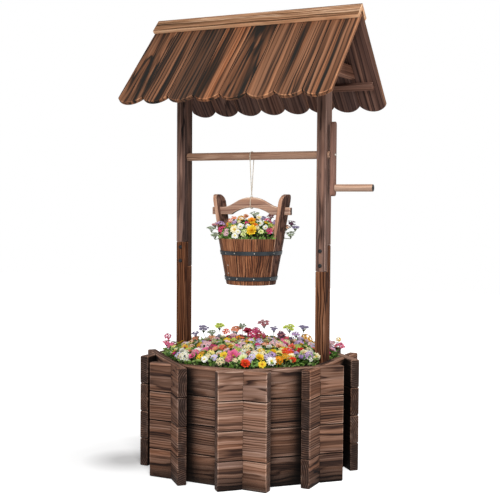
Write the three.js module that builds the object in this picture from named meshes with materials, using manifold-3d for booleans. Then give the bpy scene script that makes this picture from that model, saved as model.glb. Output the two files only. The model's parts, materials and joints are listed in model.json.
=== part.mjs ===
// Wishing well planter: an octagonal planter of crossed boards, two posts, a gabled plank roof,
// a windlass with a crank, and a coopered bucket that hangs on a loop of twine.
// Millimetres, +Z up. The origin is on the ground at the middle of the octagon, X runs along the
// ridge towards the crank, and the front is towards -Y.

import * as THREE from 'three';
import { mergeVertices, toCreasedNormals } from 'three/addons/utils/BufferGeometryUtils.js';
import Module from 'manifold-3d';

const wasm = await Module();
wasm.setup();

// Fits shared by the whole object
const seatGap = 0.3; // between pieces that rest on or in each other
const runGap = 0.5; // round the turning axle in its posts
const cutOverrun = 6; // how far every cutter runs past what it cuts

// Planter wall
const sideCount = 8;
const courseCount = 4;
const wallAcross = 467.4; // outside, flat to flat
const courseHeight = 70;
const boardThickness = 23;
const boardTail = 61.5; // past the outside corner
const boardChamfer = 2;

// Planter floor
const bearerHeight = 40;
const bearerWidth = 40;
const bearerSpacing = 130;
const deckThickness = 15;
const slatWidth = 40;
const slatGap = 5;

// Soil and flowers of the planter
const soilBelowRim = 30;
const bloomMargin = 4; // from the wall to the flowers
const bloomRise = 43; // above the rim, at the middle
const bloomEdgeRise = 10; // above the rim, at the edge
const blossomDiameter = 38;
const blossomRise = 13; // above the mound that it sits on
const planterBlossomCount = 48;

// Posts
const postThickness = 25; // along X
const postDepth = 40; // along Y
const postChamfer = 1.5;
const lapBottom = 501; // of the half lap that joins the two lengths of a post
const lapLength = 64;
const boltDiameter = 6; // of the two bolts through each lap
const boltInset = 14; // from the lap's ends to the bolts' axes
const boltHeadDiameter = 10;
const boltHeadHeight = 2.6;
const nutAcross = 11.5; // corner to corner
const nutHeight = 4;
const boltTail = 2; // of the bolts, past their nuts

// Roof
const roofPitch = THREE.MathUtils.degToRad(47);
const roofShift = 7; // of the roof along the ridge, towards the crank
const plankCount = 8;
const plankWidth = 70;
const plankGap = 1.3;
const plankThickness = 10;
const plankLength = 300; // down the slope, from the ridge to the tip
const plankTipRise = 18; // height of the rounded tip
const purlinWidth = 18; // down the slope
const purlinThickness = 12;
const purlinInset = 16; // from the roof's end to the purlin's end
const upperPurlinPlace = 26; // down the slope to the purlin's upper side
const purlinClearance = 11; // down the slope, from the collars to the lower purlins
const capWidth = 43;
const capThickness = 10;
const capOverhang = 1.5;
const collarThickness = 20;
const collarHeight = 31;
const collarPlace = 194; // down the slope to the collars' lower corners
const postTopClearance = 8; // below the upper purlins

// Windlass
const axleDiameter = 20;
const axleInset = 1.5; // the axle's left end, inside the left post's outer face
const spigotDiameter = 9; // the turned-down ends of the axle and the handle
const armStandoff = 5.6; // from the right post to the crank arm
const armThickness = 12;
const armWidth = 15;
const armAbove = 80.6; // from the axle's axis to the arm's upper end
const armBelow = 101.2;
const armClearance = 96.2; // from the circle that its lower end sweeps up to the collars
const armChamfer = 1;
const handlePlace = 81; // from the axle's axis to the handle's axis
const handleDiameter = 18;
const handleLength = 97.5;

// Rope
const ropeDiameter = 2.6;
const ropeDrop = 98.7; // from the axle's axis to the knot
const knotDiameter = 5.2;
const tieBend = 2.4; // inside radius of the tie's corners

// Bucket
const staveCount = 10;
const staveThickness = 10;
const staveGroove = 0.8;
const bucketHeight = 117;
const bucketClearance = 138; // from the planter's flowers up to its base
const bucketBaseRadius = 63;
const bucketRimRadius = 84;
const bottomThickness = 9;
const bottomRecess = 6;
const hoopWidth = 10;
const hoopThickness = 1.2;
const lowerHoopPlace = 11.5; // above the bucket's base
const upperHoopPlace = 76;
const earWidth = 52;
const earRise = 112; // above the rim
const earCornerRadius = 20;
const gripThickness = 12; // of the bucket's handle, along Y
const gripReach = 111; // half its length
const gripPlace = 60; // its ends' lower side, above the rim
const gripEndHeight = 19;
const gripRise = 25.5; // of its crest above its ends' upper side
const gripHeight = 26.5; // at the middle
const gripUnderReach = 56; // half the span of the arch below
const gripCrestReach = 82; // half the span of the curve above
const gripChamfer = 1.5;
const bucketBloomRise = 40; // above the rim, at the middle
const bucketBlossomCount = 13;

// Fineness of round forms
const boltSides = 12;
const nutSides = 6;
const blossomSides = 6;
const axleSides = 32;
const curveSteps = 8;
const ropeSides = 8;
const staveSteps = 4; // to each stave
const domeSides = 30;
const creaseAngle = THREE.MathUtils.degToRad(35); // sharper edges than this are drawn sharp

// Shares that shape a curve
const crestShare = 0.5; // how far the S-curve above the handle stays level at its crest
const footShare = 0.36; // and at its feet
const boltHeadShare = 0.6; // of the bolt head's radius and height, where its crown begins
const domeShares = [
  [1, 0],
  [0.97, 0.36],
  [0.86, 0.66],
  [0.66, 0.86],
  [0.36, 0.97],
  [0, 1],
];

// Places that follow from the sizes above
const sideAngle = (2 * Math.PI) / sideCount;
const halfCorner = Math.tan(sideAngle / 2);
const rimHeight = courseHeight * courseCount;
const wallInside = wallAcross / 2 - boardThickness; // apothem of the inner faces
const postOutside = wallInside - seatGap;
const postInside = postOutside - postThickness;
const deckTop = bearerHeight + deckThickness;
const soilTop = rimHeight - soilBelowRim;
const bloomRadius = wallInside - bloomMargin;
const lapTop = lapBottom + lapLength;
const plankPitch = plankWidth + plankGap;
const roofLength = plankPitch * plankCount - plankGap;
const mitreGap = seatGap / 2 / Math.cos(roofPitch);
const axleRadius = axleDiameter / 2;
const axleBoreRadius = axleRadius + runGap;
const armInside = postOutside + armStandoff;
const armOutside = armInside + armThickness;
const ropeRadius = ropeDiameter / 2;
const spigotRadius = spigotDiameter / 2;
const gripEndBottom = bucketHeight + gripPlace; // above the bucket's base
const gripEndTop = gripEndBottom + gripEndHeight;
const gripCrest = gripEndTop + gripRise;
const gripUnder = gripCrest - gripHeight;
const bucketFlare = (bucketRimRadius - bucketBaseRadius) / bucketHeight;
const staveAngle = (2 * Math.PI) / staveCount;
const bucketSides = staveCount * staveSteps;
const goldenAngle = Math.PI * (3 - Math.sqrt(5));

// Heights, from the rim of the planter up to the ridge. The bucket clears the flowers, the axle
// is a rope's length above the bucket's handle, and the roof clears the turning crank.
const bucketBase = rimHeight + bloomRise + bucketClearance;
const crestHeight = bucketBase + gripCrest;
const knotHeight = crestHeight + seatGap + ropeDiameter + seatGap + knotDiameter / 2;
const axleHeight = knotHeight + ropeDrop;
const collarBottom = axleHeight + armBelow + armClearance;
const collarSeat = plankThickness + seatGap; // from the planks' upper sides down to the collars
const collarFall = collarPlace * Math.sin(roofPitch) + collarSeat * Math.cos(roofPitch);
const plankApex = collarBottom + collarFall;
const lowerPurlinPlace = collarPlace + purlinClearance;

// Materials
function finish(colour, roughness = 0.8, metalness = 0) {
  return new THREE.MeshStandardMaterial({ color: colour, roughness, metalness });
}
const boardWood = finish(0x5a3524);
const postWood = finish(0x6b4630);
const roofWood = finish(0x7d4b30);
const capWood = finish(0xa87246);
const crankWood = finish(0x8a6250);
const handleWood = finish(0xc79c78);
const bucketWood = finish(0x8a4f33);
const hoopSteel = finish(0x2c343b, 0.5, 0.8);
const twine = finish(0xcfc4b2, 0.95);
const hiddenWood = finish(0x8c6a48);
const compost = finish(0x2e2119, 1);
const foliage = finish(0x6e8f4a, 0.9);

// Solids and meshes
function toSolid(geometry) {
  const bare = geometry.clone();
  bare.deleteAttribute('normal');
  bare.deleteAttribute('uv');
  const merged = mergeVertices(bare);
  return new wasm.Manifold(
    new wasm.Mesh({
      numProp: 3,
      vertProperties: new Float32Array(merged.attributes.position.array),
      triVerts: new Uint32Array(merged.index.array),
    }),
  );
}

function toGeometry(solid) {
  const mesh = solid.getMesh();
  const geometry = new THREE.BufferGeometry();
  geometry.setAttribute('position', new THREE.BufferAttribute(mesh.vertProperties, 3));
  geometry.setIndex(new THREE.BufferAttribute(mesh.triVerts, 1));
  return toCreasedNormals(geometry, creaseAngle);
}

function join(geometries) {
  return toGeometry(geometries.map(toSolid).reduce((whole, piece) => whole.add(piece)));
}

function cut(geometry, cutters) {
  return toGeometry(cutters.map(toSolid).reduce((whole, piece) => whole.subtract(piece), toSolid(geometry)));
}

function common(first, second) {
  return toGeometry(toSolid(first).intersect(toSolid(second)));
}

function add(parent, name, geometry, material) {
  const mesh = new THREE.Mesh(geometry, material);
  mesh.name = name;
  parent.add(mesh);
  return mesh;
}

function group(parent) {
  const made = new THREE.Group();
  parent.add(made);
  return made;
}

// Profiles and how they are swept
function outline(points) {
  return new THREE.Shape(points.map(([u, v]) => new THREE.Vector2(u, v)));
}

function chamferedRectangle(width, height, chamfer) {
  const u = width / 2;
  const v = height / 2;
  return outline([
    [-u + chamfer, -v],
    [u - chamfer, -v],
    [u, -v + chamfer],
    [u, v - chamfer],
    [u - chamfer, v],
    [-u + chamfer, v],
    [-u, v - chamfer],
    [-u, -v + chamfer],
  ]);
}

// A profile swept from 0 to depth, its two end edges chamfered where a chamfer is given.
function swept(profile, depth, chamfer = 0, curveSegments = curveSteps) {
  const geometry = new THREE.ExtrudeGeometry(profile, {
    depth: depth - 2 * chamfer,
    bevelEnabled: chamfer > 0,
    bevelThickness: chamfer,
    bevelSize: chamfer,
    bevelOffset: -chamfer,
    bevelSegments: 1,
    curveSegments,
  });
  geometry.translate(0, 0, chamfer);
  return geometry;
}

const alongX = new THREE.Matrix4().makeBasis(
  new THREE.Vector3(0, 1, 0),
  new THREE.Vector3(0, 0, 1),
  new THREE.Vector3(1, 0, 0),
);
const alongY = new THREE.Matrix4().makeBasis(
  new THREE.Vector3(1, 0, 0),
  new THREE.Vector3(0, 0, 1),
  new THREE.Vector3(0, -1, 0),
);

// The profile's axes are Y and Z, and the piece runs from x0 to x1.
function sweptX(profile, x0, x1, chamfer, curveSegments) {
  return swept(profile, x1 - x0, chamfer, curveSegments).applyMatrix4(alongX).translate(x0, 0, 0);
}

// The profile's axes are X and Z, and the piece is centred on the plane Y = 0.
function sweptY(profile, depth, chamfer, curveSegments) {
  return swept(profile, depth, chamfer, curveSegments).applyMatrix4(alongY).translate(0, depth / 2, 0);
}

function box(x0, x1, y0, y1, z0, z1) {
  const geometry = new THREE.BoxGeometry(x1 - x0, y1 - y0, z1 - z0);
  return geometry.translate((x0 + x1) / 2, (y0 + y1) / 2, (z0 + z1) / 2);
}

// A turned piece: pairs of radius and place along its axis, which is upright or lies along X.
function turned(profile, sides) {
  const points = profile.map(([radius, place]) => new THREE.Vector2(radius, place));
  return new THREE.LatheGeometry(points, sides).rotateX(Math.PI / 2);
}

function turnedX(profile, sides) {
  const points = profile.map(([radius, place]) => new THREE.Vector2(radius, place));
  return new THREE.LatheGeometry(points, sides).rotateZ(-Math.PI / 2);
}

function roundBar(radius, x0, x1, z) {
  return turnedX([[0, x0], [radius, x0], [radius, x1], [0, x1]], axleSides).translate(0, 0, z);
}

// A solid whose skin runs over rings of as many points each, anticlockwise seen from the far end.
// Its ends are capped as the flat outline is, or its last ring joins the first.
function skinned(rings, flat) {
  const count = rings[0].length;
  const positions = rings.flat().flatMap((point) => point.toArray());
  const faces = [];
  const bands = flat ? rings.length - 1 : rings.length;
  for (let band = 0; band < bands; band += 1) {
    const near = band * count;
    const far = ((band + 1) % rings.length) * count;
    for (let i = 0; i < count; i += 1) {
      const next = (i + 1) % count;
      faces.push(near + i, near + next, far + next, near + i, far + next, far + i);
    }
  }
  if (flat) {
    const last = (rings.length - 1) * count;
    for (const [a, b, c] of THREE.ShapeUtils.triangulateShape(flat, [])) {
      faces.push(a, c, b, last + a, last + b, last + c);
    }
  }
  const geometry = new THREE.BufferGeometry();
  geometry.setAttribute('position', new THREE.Float32BufferAttribute(positions, 3));
  geometry.setIndex(faces);
  return toCreasedNormals(geometry, creaseAngle);
}

const well = new THREE.Group();

// Planter wall. Sides alternate: one has its laps cut from above, the next from below.
function wallBoard(lapFromAbove) {
  const height = courseHeight - seatGap;
  const middle = wallAcross / 2 - boardThickness / 2;
  const reach = (wallAcross / 2) * halfCorner + boardTail;
  const profile = chamferedRectangle(boardThickness, height, boardChamfer);
  const board = sweptX(profile, -reach, reach, boardChamfer).translate(0, 0, height / 2);
  const slotWidth = boardThickness + 2 * seatGap;
  const low = lapFromAbove ? height / 2 - seatGap / 2 : -cutOverrun;
  const high = lapFromAbove ? height + cutOverrun : height / 2 + seatGap / 2;
  const slotReach = boardThickness * 2;
  const slots = [-1, 1].map((end) =>
    box(-slotReach, slotReach, -slotWidth / 2, slotWidth / 2, low, high)
      .rotateZ(end * sideAngle)
      .translate(end * middle * halfCorner, 0, 0),
  );
  return cut(board, slots);
}

const sideNames = ['front', 'front_right', 'right', 'rear_right', 'rear', 'rear_left', 'left', 'front_left'];

function addWall() {
  const boards = [wallBoard(true), wallBoard(false)];
  for (let side = 0; side < sideCount; side += 1) {
    const wall = group(well);
    wall.rotation.z = side * sideAngle;
    for (let course = 0; course < courseCount; course += 1) {
      const name = `${sideNames[side % sideNames.length]}_board_${course + 1}`;
      const board = add(wall, name, boards[side % 2], boardWood);
      board.position.set(0, -(wallAcross / 2 - boardThickness / 2), course * courseHeight);
    }
  }
}

// A prism with as many sides as the wall, by its apothem.
function wallPrism(apothem, z0, z1) {
  const radius = apothem / Math.cos(sideAngle / 2);
  const corners = [];
  for (let i = 0; i < sideCount; i += 1) {
    const angle = (i + 1 / 2) * sideAngle;
    corners.push([radius * Math.cos(angle), radius * Math.sin(angle)]);
  }
  return swept(outline(corners), z1 - z0).translate(0, 0, z0);
}

// The room that both posts take, with the gap round them.
function postRooms(z0, z1) {
  const y = postDepth / 2 + seatGap;
  const outside = wallAcross / 2;
  return [
    box(postInside - seatGap, outside, -y, y, z0, z1),
    box(-outside, -postInside + seatGap, -y, y, z0, z1),
  ];
}

// Planter floor: slats along X on bearers along Y, which stand on the ground.
function addFloor() {
  const apothem = wallInside - seatGap;
  const pitch = slatWidth + slatGap;
  const gaps = [];
  for (let y = pitch / 2; y < apothem - slatWidth; y += pitch) {
    for (const middle of [-y, y]) {
      gaps.push(box(-wallAcross, wallAcross, middle - slatGap / 2, middle + slatGap / 2, 0, rimHeight));
    }
  }
  const plate = wallPrism(apothem, bearerHeight, deckTop);
  const deck = cut(plate, [...gaps, ...postRooms(0, rimHeight)]);
  const bearers = [-bearerSpacing, 0, bearerSpacing].map((x) => {
    const far = Math.abs(x) + bearerWidth / 2;
    const half = Math.min(apothem, (apothem - far * Math.sin(sideAngle)) / Math.cos(sideAngle));
    return box(x - bearerWidth / 2, x + bearerWidth / 2, -half, half, 0, bearerHeight);
  });
  add(well, 'planter_floor', join([deck, ...bearers]), hiddenWood);
}

// A dome of flowers stands on its edge's height and rises to its middle.
function domeProfile({ radius, edge, rise }) {
  return domeShares.map(([out, up]) => [radius * out, edge + rise * up]);
}

// Blossoms as flattened balls that sit in a dome, set in a sunflower's spiral
function blossoms({ radius, edge, rise }, count) {
  const balls = [];
  for (let i = 0; i < count; i += 1) {
    const reach = (radius - blossomDiameter / 2) * Math.sqrt((i + 1 / 2) / count);
    const height = edge + rise * Math.sqrt(1 - (reach / radius) ** 2);
    const ball = new THREE.SphereGeometry(1, blossomSides, blossomSides / 2).rotateX(Math.PI / 2);
    ball.scale(blossomDiameter / 2, blossomDiameter / 2, blossomRise);
    ball.translate(reach, 0, height);
    balls.push(ball.rotateZ(i * goldenAngle));
  }
  return balls;
}

// Soil and flowers of the planter, both with room for the posts
function addPlanting() {
  const inner = wallInside - seatGap;
  const soil = wallPrism(inner, deckTop + seatGap, soilTop);
  add(well, 'planter_soil', cut(soil, postRooms(0, plankApex)), compost);

  const foot = soilTop + seatGap;
  const edge = rimHeight + bloomEdgeRise;
  const dome = { radius: bloomRadius, edge, rise: bloomRise - bloomEdgeRise };
  const mound = turned([[0, foot], [bloomRadius, foot], ...domeProfile(dome)], domeSides);
  const flowers = join([mound, ...blossoms(dome, planterBlossomCount)]);
  add(well, 'planter_flowers', cut(flowers, postRooms(0, plankApex)), foliage);
}

// A bolt along Y with its head in front and its nut behind, and the bore that it needs
function bolt(x, z) {
  const reach = postDepth / 2 + seatGap;
  const head = boltHeadDiameter / 2;
  const crown = reach + boltHeadHeight;
  const tail = reach + nutHeight + boltTail;
  const shape = [
    [0, -tail],
    [boltDiameter / 2, -tail],
    [boltDiameter / 2, reach],
    [head, reach],
    [head, reach + boltHeadHeight * (1 - boltHeadShare)],
    [head * boltHeadShare, crown],
    [0, crown],
  ];
  const nut = [
    [0, -reach - nutHeight],
    [nutAcross / 2, -reach - nutHeight],
    [nutAcross / 2, -reach],
    [0, -reach],
  ];
  const whole = join([turned(shape, boltSides), turned(nut, nutSides)]);
  return whole.rotateX(Math.PI / 2).translate(x, 0, z);
}

function boltBore(x, z) {
  const radius = boltDiameter / 2 + seatGap;
  const reach = postDepth / 2 + cutOverrun;
  const shape = [[0, -reach], [radius, -reach], [radius, reach], [0, reach]];
  return turned(shape, boltSides).rotateX(Math.PI / 2).translate(x, 0, z);
}

// Posts. Each is two lengths halved into each other and bolted, and the axle runs in the upper
// ones, which carry the bolts. The lower length's tongue lies in front on the left post and
// behind on the right post.
function addPosts() {
  const half = postDepth / 2;
  const face = seatGap / 2;
  const purlinFoot = (upperPurlinPlace + purlinWidth) * Math.sin(roofPitch);
  const purlinDepth = (plankThickness + purlinThickness) * Math.cos(roofPitch);
  const top = plankApex - purlinFoot - purlinDepth - postTopClearance;
  for (const [name, side] of [['left', -1], ['right', 1]]) {
    const x0 = side > 0 ? postInside : -postOutside;
    const x1 = x0 + postThickness;
    const middle = (x0 + x1) / 2;
    const boltPlaces = [lapBottom + boltInset, lapTop - boltInset];
    const lower = outline([
      [-side * half, 0],
      [side * half, 0],
      [side * half, lapTop - face],
      [side * face, lapTop - face],
      [side * face, lapBottom - face],
      [-side * half, lapBottom - face],
    ]);
    const bores = boltPlaces.map((z) => boltBore(middle, z));
    add(well, `${name}_post_lower`, cut(sweptX(lower, x0, x1, postChamfer), bores), postWood);
    const upper = outline([
      [-side * half, lapBottom + face],
      [-side * face, lapBottom + face],
      [-side * face, lapTop + face],
      [side * half, lapTop + face],
      [side * half, top],
      [-side * half, top],
    ]);
    const bored = cut(sweptX(upper, x0, x1, postChamfer), [
      roundBar(axleBoreRadius, x0 - cutOverrun, x1 + cutOverrun, axleHeight),
    ]);
    const bolts = boltPlaces.map((z) => bolt(middle, z));
    add(well, `${name}_post_upper`, join([bored, ...bolts]), postWood);
  }
}

// Collars, one across each gable on its post's outer face. Their ends follow the underside of
// the planks, above the lower purlins.
function addCollars() {
  const corner = collarPlace * Math.cos(roofPitch) - collarSeat * Math.sin(roofPitch);
  const half = [
    [corner, collarBottom],
    [corner - collarHeight / Math.tan(roofPitch), collarBottom + collarHeight],
  ];
  const profile = outline([...half, ...half.map(([y, z]) => [-y, z]).reverse()]);
  const x = postOutside + seatGap;
  add(well, 'left_collar', sweptX(profile, -x - collarThickness, -x, postChamfer), postWood);
  add(well, 'right_collar', sweptX(profile, x, x + collarThickness, postChamfer), postWood);
}

// Roof. In a slope's own frame X runs along the ridge, Y up the slope, Z out of its upper side,
// and the planks' upper sides meet at the origin. A mitre on the ridge's upright plane parts them.
function atMitre(z) {
  return z * Math.tan(roofPitch) - mitreGap;
}

function plankShape() {
  const half = plankWidth / 2;
  const radius = (half * half + plankTipRise * plankTipRise) / (2 * plankTipRise);
  const centre = radius - plankLength;
  const cusp = plankTipRise - plankLength;
  const turn = Math.atan2(cusp - centre, half);
  const shape = new THREE.Shape();
  shape.moveTo(half, 0);
  shape.lineTo(-half, 0);
  shape.absarc(0, centre, radius, -Math.PI - turn, turn, false);
  return shape;
}

function roofPanel() {
  const under = -plankThickness;
  const planks = [];
  for (let i = 0; i < plankCount; i += 1) {
    const x = -roofLength / 2 + plankWidth / 2 + i * plankPitch;
    planks.push(swept(plankShape(), plankThickness).translate(x, 0, under));
  }
  const reach = roofLength / 2 - purlinInset;
  const purlins = [lowerPurlinPlace, upperPurlinPlace].map((place) =>
    box(-reach, reach, -place - purlinWidth, -place, under - purlinThickness, under),
  );
  const low = under - cutOverrun;
  const mitre = outline([
    [atMitre(low), low],
    [cutOverrun * 2, low],
    [cutOverrun * 2, cutOverrun],
    [atMitre(cutOverrun), cutOverrun],
  ]);
  const end = roofLength / 2 + cutOverrun;
  return cut(join([...planks, ...purlins]), [sweptX(mitre, -end, end)]);
}

function ridgeCap() {
  const low = seatGap;
  const high = seatGap + capThickness;
  const edge = atMitre(high) - capWidth;
  const profile = outline([[edge, low], [atMitre(low), low], [atMitre(high), high], [edge, high]]);
  const end = roofLength / 2 + capOverhang;
  return sweptX(profile, -end, end);
}

function addRoof() {
  const panel = roofPanel();
  const cap = ridgeCap();
  for (const [name, turn] of [['front', 0], ['rear', Math.PI]]) {
    const side = group(well);
    side.rotation.z = turn;
    side.position.x = roofShift;
    const slope = group(side);
    slope.position.z = plankApex;
    slope.rotation.x = roofPitch;
    add(slope, `${name}_roof_panel`, panel, roofWood);
    add(slope, `${name}_ridge_cap`, cap, capWood);
  }
}

// Windlass: the axle turns in the posts, its spigot carries the crank arm, and the arm the handle.
function addWindlass() {
  const axleEnd = armInside - seatGap;
  const axle = turnedX(
    [
      [0, -postOutside + axleInset],
      [axleRadius, -postOutside + axleInset],
      [axleRadius, axleEnd],
      [spigotRadius, axleEnd],
      [spigotRadius, armOutside],
      [0, armOutside],
    ],
    axleSides,
  );
  add(well, 'axle', axle.translate(0, 0, axleHeight), capWood);

  const half = armWidth / 2;
  const handleHeight = axleHeight - handlePlace;
  const profile = new THREE.Shape();
  profile.absarc(0, axleHeight + armAbove - half, half, 0, Math.PI, false);
  profile.absarc(0, axleHeight - armBelow + half, half, Math.PI, 2 * Math.PI, false);
  const holes = [axleHeight, handleHeight].map((z) =>
    roundBar(spigotRadius + seatGap, armInside - cutOverrun, armOutside + cutOverrun, z),
  );
  add(well, 'crank_arm', cut(sweptX(profile, armInside, armOutside, armChamfer), holes), crankWood);

  const handleRadius = handleDiameter / 2;
  const handle = turnedX(
    [
      [0, armInside],
      [spigotRadius, armInside],
      [spigotRadius, armOutside + seatGap],
      [handleRadius, armOutside + seatGap],
      [handleRadius, armOutside + handleLength],
      [0, armOutside + handleLength],
    ],
    axleSides,
  );
  add(well, 'crank_handle', handle.translate(0, 0, handleHeight), handleWood);
}

// A round cord along a path in the plane X = 0. The path's axes are Y and Z.
function cord(path, closed) {
  const points = path.getPoints(curveSteps);
  if (closed) {
    points.pop();
  }
  const circle = [];
  for (let i = 0; i < ropeSides; i += 1) {
    const angle = (2 * Math.PI * i) / ropeSides;
    circle.push(new THREE.Vector2(Math.cos(angle), Math.sin(angle)).multiplyScalar(ropeRadius));
  }
  const last = points.length - 1;
  const rings = points.map((point, i) => {
    const before = points[closed ? (i + last) % points.length : Math.max(i - 1, 0)];
    const after = points[closed ? (i + 1) % points.length : Math.min(i + 1, last)];
    const along = after.clone().sub(before).normalize();
    return circle.map(
      ({ x, y }) => new THREE.Vector3(x, point.x + y * along.y, point.y - y * along.x),
    );
  });
  return skinned(rings, closed ? null : circle);
}

// Rope: one strand on either side of the axle, from the knot to just past the top, and a closed
// tie round the bucket's handle.
function addRope() {
  const radius = axleRadius + seatGap + ropeRadius;
  const dip = Math.asin(radius / ropeDrop);
  const path = new THREE.Path();
  path.moveTo(0, -ropeDrop);
  path.lineTo(radius * Math.cos(dip), -radius * Math.sin(dip));
  path.absarc(0, 0, radius, -dip, Math.PI / 2 + ropeRadius / radius, false);
  const strand = cord(path, false);
  const knot = new THREE.SphereGeometry(knotDiameter / 2, ropeSides * 2, ropeSides);
  const loop = join([strand, strand.clone().rotateZ(Math.PI), knot.translate(0, 0, -ropeDrop)]);
  add(well, 'rope_loop', loop.translate(0, 0, axleHeight), twine);

  const bend = tieBend + ropeRadius;
  const y = gripThickness / 2 + seatGap + ropeRadius - bend;
  const z = gripHeight / 2 + seatGap + ropeRadius - bend;
  const tie = new THREE.Path();
  tie.absarc(y, z, bend, 0, Math.PI / 2, false);
  tie.absarc(-y, z, bend, Math.PI / 2, Math.PI, false);
  tie.absarc(-y, -z, bend, Math.PI, (3 * Math.PI) / 2, false);
  tie.absarc(y, -z, bend, (3 * Math.PI) / 2, 2 * Math.PI, false);
  tie.closePath();
  const height = crestHeight - gripHeight / 2;
  add(well, 'handle_tie', cord(tie, true).translate(0, 0, height), twine);
}

// Bucket. Its staves are counted from the right ear, and heights run up from its base.
function bucketRadius(height) {
  return bucketBaseRadius + bucketFlare * height;
}

// The outline of neighbouring staves at one height, with a groove outside along each seam.
function staveRing(first, count, height) {
  const outer = bucketRadius(height);
  const inner = outer - staveThickness;
  const margin = seatGap / 2 / (bucketBaseRadius - staveThickness);
  const groove = staveGroove / bucketRimRadius;
  const ring = [];
  const put = (radius, angle) => {
    ring.push(new THREE.Vector3(radius * Math.cos(angle), radius * Math.sin(angle), height));
  };
  const start = (first - 1 / 2) * staveAngle;
  for (let stave = 0; stave < count; stave += 1) {
    const from = start + stave * staveAngle + (stave === 0 ? margin : groove);
    const to = start + (stave + 1) * staveAngle - (stave === count - 1 ? margin : groove);
    for (let i = 0; i <= staveSteps; i += 1) {
      put(outer, from + ((to - from) * i) / staveSteps);
    }
    if (stave < count - 1) {
      put(outer - staveGroove, to + groove);
    }
  }
  const steps = count * staveSteps;
  const sweep = count * staveAngle - 2 * margin;
  for (let i = steps; i >= 0; i -= 1) {
    put(inner, start + margin + (sweep * i) / steps);
  }
  return ring;
}

function staves(first, count, height) {
  const rings = [staveRing(first, count, 0), staveRing(first, count, height)];
  return skinned(rings, rings[0].map(({ x, y }) => new THREE.Vector2(x, y)));
}

// A stave that stands above the rim, round-cornered, with a mortise for the handle.
function ear() {
  const half = earWidth / 2;
  const top = bucketHeight + earRise;
  const shape = new THREE.Shape();
  shape.moveTo(-half, -cutOverrun);
  shape.lineTo(half, -cutOverrun);
  shape.absarc(half - earCornerRadius, top - earCornerRadius, earCornerRadius, 0, Math.PI / 2, false);
  shape.absarc(earCornerRadius - half, top - earCornerRadius, earCornerRadius, Math.PI / 2, Math.PI, false);
  const reach = bucketRimRadius * 2;
  const slotHalf = gripThickness / 2 + seatGap;
  const slot = box(0, reach, -slotHalf, slotHalf, gripEndBottom - seatGap, gripEndTop + seatGap);
  return cut(common(staves(0, 1, top), sweptX(shape, 0, reach)), [slot]);
}

function hoop(place) {
  const top = place + hoopWidth;
  const grow = 1 / Math.cos(Math.PI / bucketSides);
  const low = (bucketRadius(place) + seatGap) * grow;
  const high = (bucketRadius(top) + seatGap) * grow;
  const profile = [
    [low, place],
    [low + hoopThickness, place],
    [high + hoopThickness, top],
    [high, top],
    [low, place],
  ];
  return turned(profile, bucketSides);
}

// The handle, arched above and below between straight ends that lie in the ears' mortises.
function gripShape() {
  const bend = gripCrestReach * crestShare;
  const foot = gripCrestReach * (1 - footShare);
  const underRise = gripUnder - gripEndBottom;
  const underRadius = (gripUnderReach * gripUnderReach + underRise * underRise) / (2 * underRise);
  const underCentre = gripUnder - underRadius;
  const underTurn = Math.atan2(gripEndBottom - underCentre, gripUnderReach);
  const shape = new THREE.Shape();
  shape.moveTo(-gripReach, gripEndTop);
  shape.lineTo(-gripReach, gripEndBottom);
  shape.absarc(0, underCentre, underRadius, Math.PI - underTurn, underTurn, true);
  shape.lineTo(gripReach, gripEndBottom);
  shape.lineTo(gripReach, gripEndTop);
  shape.lineTo(gripCrestReach, gripEndTop);
  shape.bezierCurveTo(foot, gripEndTop, bend, gripCrest, 0, gripCrest);
  shape.bezierCurveTo(-bend, gripCrest, -foot, gripEndTop, -gripCrestReach, gripEndTop);
  return shape;
}

function addBucket() {
  const bucket = group(well);
  bucket.position.z = bucketBase;
  const sideStaves = staveCount / 2 - 1;
  add(bucket, 'bucket_rear_staves', staves(1, sideStaves, bucketHeight), bucketWood);
  add(bucket, 'bucket_front_staves', staves(staveCount / 2 + 1, sideStaves, bucketHeight), bucketWood);
  add(bucket, 'right_ear', ear(), bucketWood);
  add(bucket, 'left_ear', ear().rotateZ(Math.PI), bucketWood);

  const inside = (height) => bucketRadius(height) - staveThickness - seatGap;
  const bottomTop = bottomRecess + bottomThickness;
  const bottom = [
    [0, bottomRecess],
    [inside(bottomRecess), bottomRecess],
    [inside(bottomTop), bottomTop],
    [0, bottomTop],
  ];
  add(bucket, 'bucket_bottom', turned(bottom, bucketSides), bucketWood);
  add(bucket, 'lower_hoop', hoop(lowerHoopPlace), hoopSteel);
  add(bucket, 'upper_hoop', hoop(upperHoopPlace), hoopSteel);
  add(bucket, 'bucket_handle', sweptY(gripShape(), gripThickness, gripChamfer), bucketWood);

  const foot = bottomTop + seatGap;
  const dome = { radius: inside(bucketHeight), edge: bucketHeight, rise: bucketBloomRise };
  const mound = turned([[0, foot], [inside(foot), foot], ...domeProfile(dome)], bucketSides);
  add(bucket, 'bucket_flowers', join([mound, ...blossoms(dome, bucketBlossomCount)]), foliage);
}

addWall();
addFloor();
addPlanting();
addPosts();
addCollars();
addRoof();
addWindlass();
addRope();
addBucket();
well.updateMatrixWorld(true);

export default well;
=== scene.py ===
import json
from math import asin, atan2, ceil, cos, pi, radians, sin, sqrt

import bmesh
import bpy
import numpy as np
from mathutils import Matrix, Vector


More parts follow.
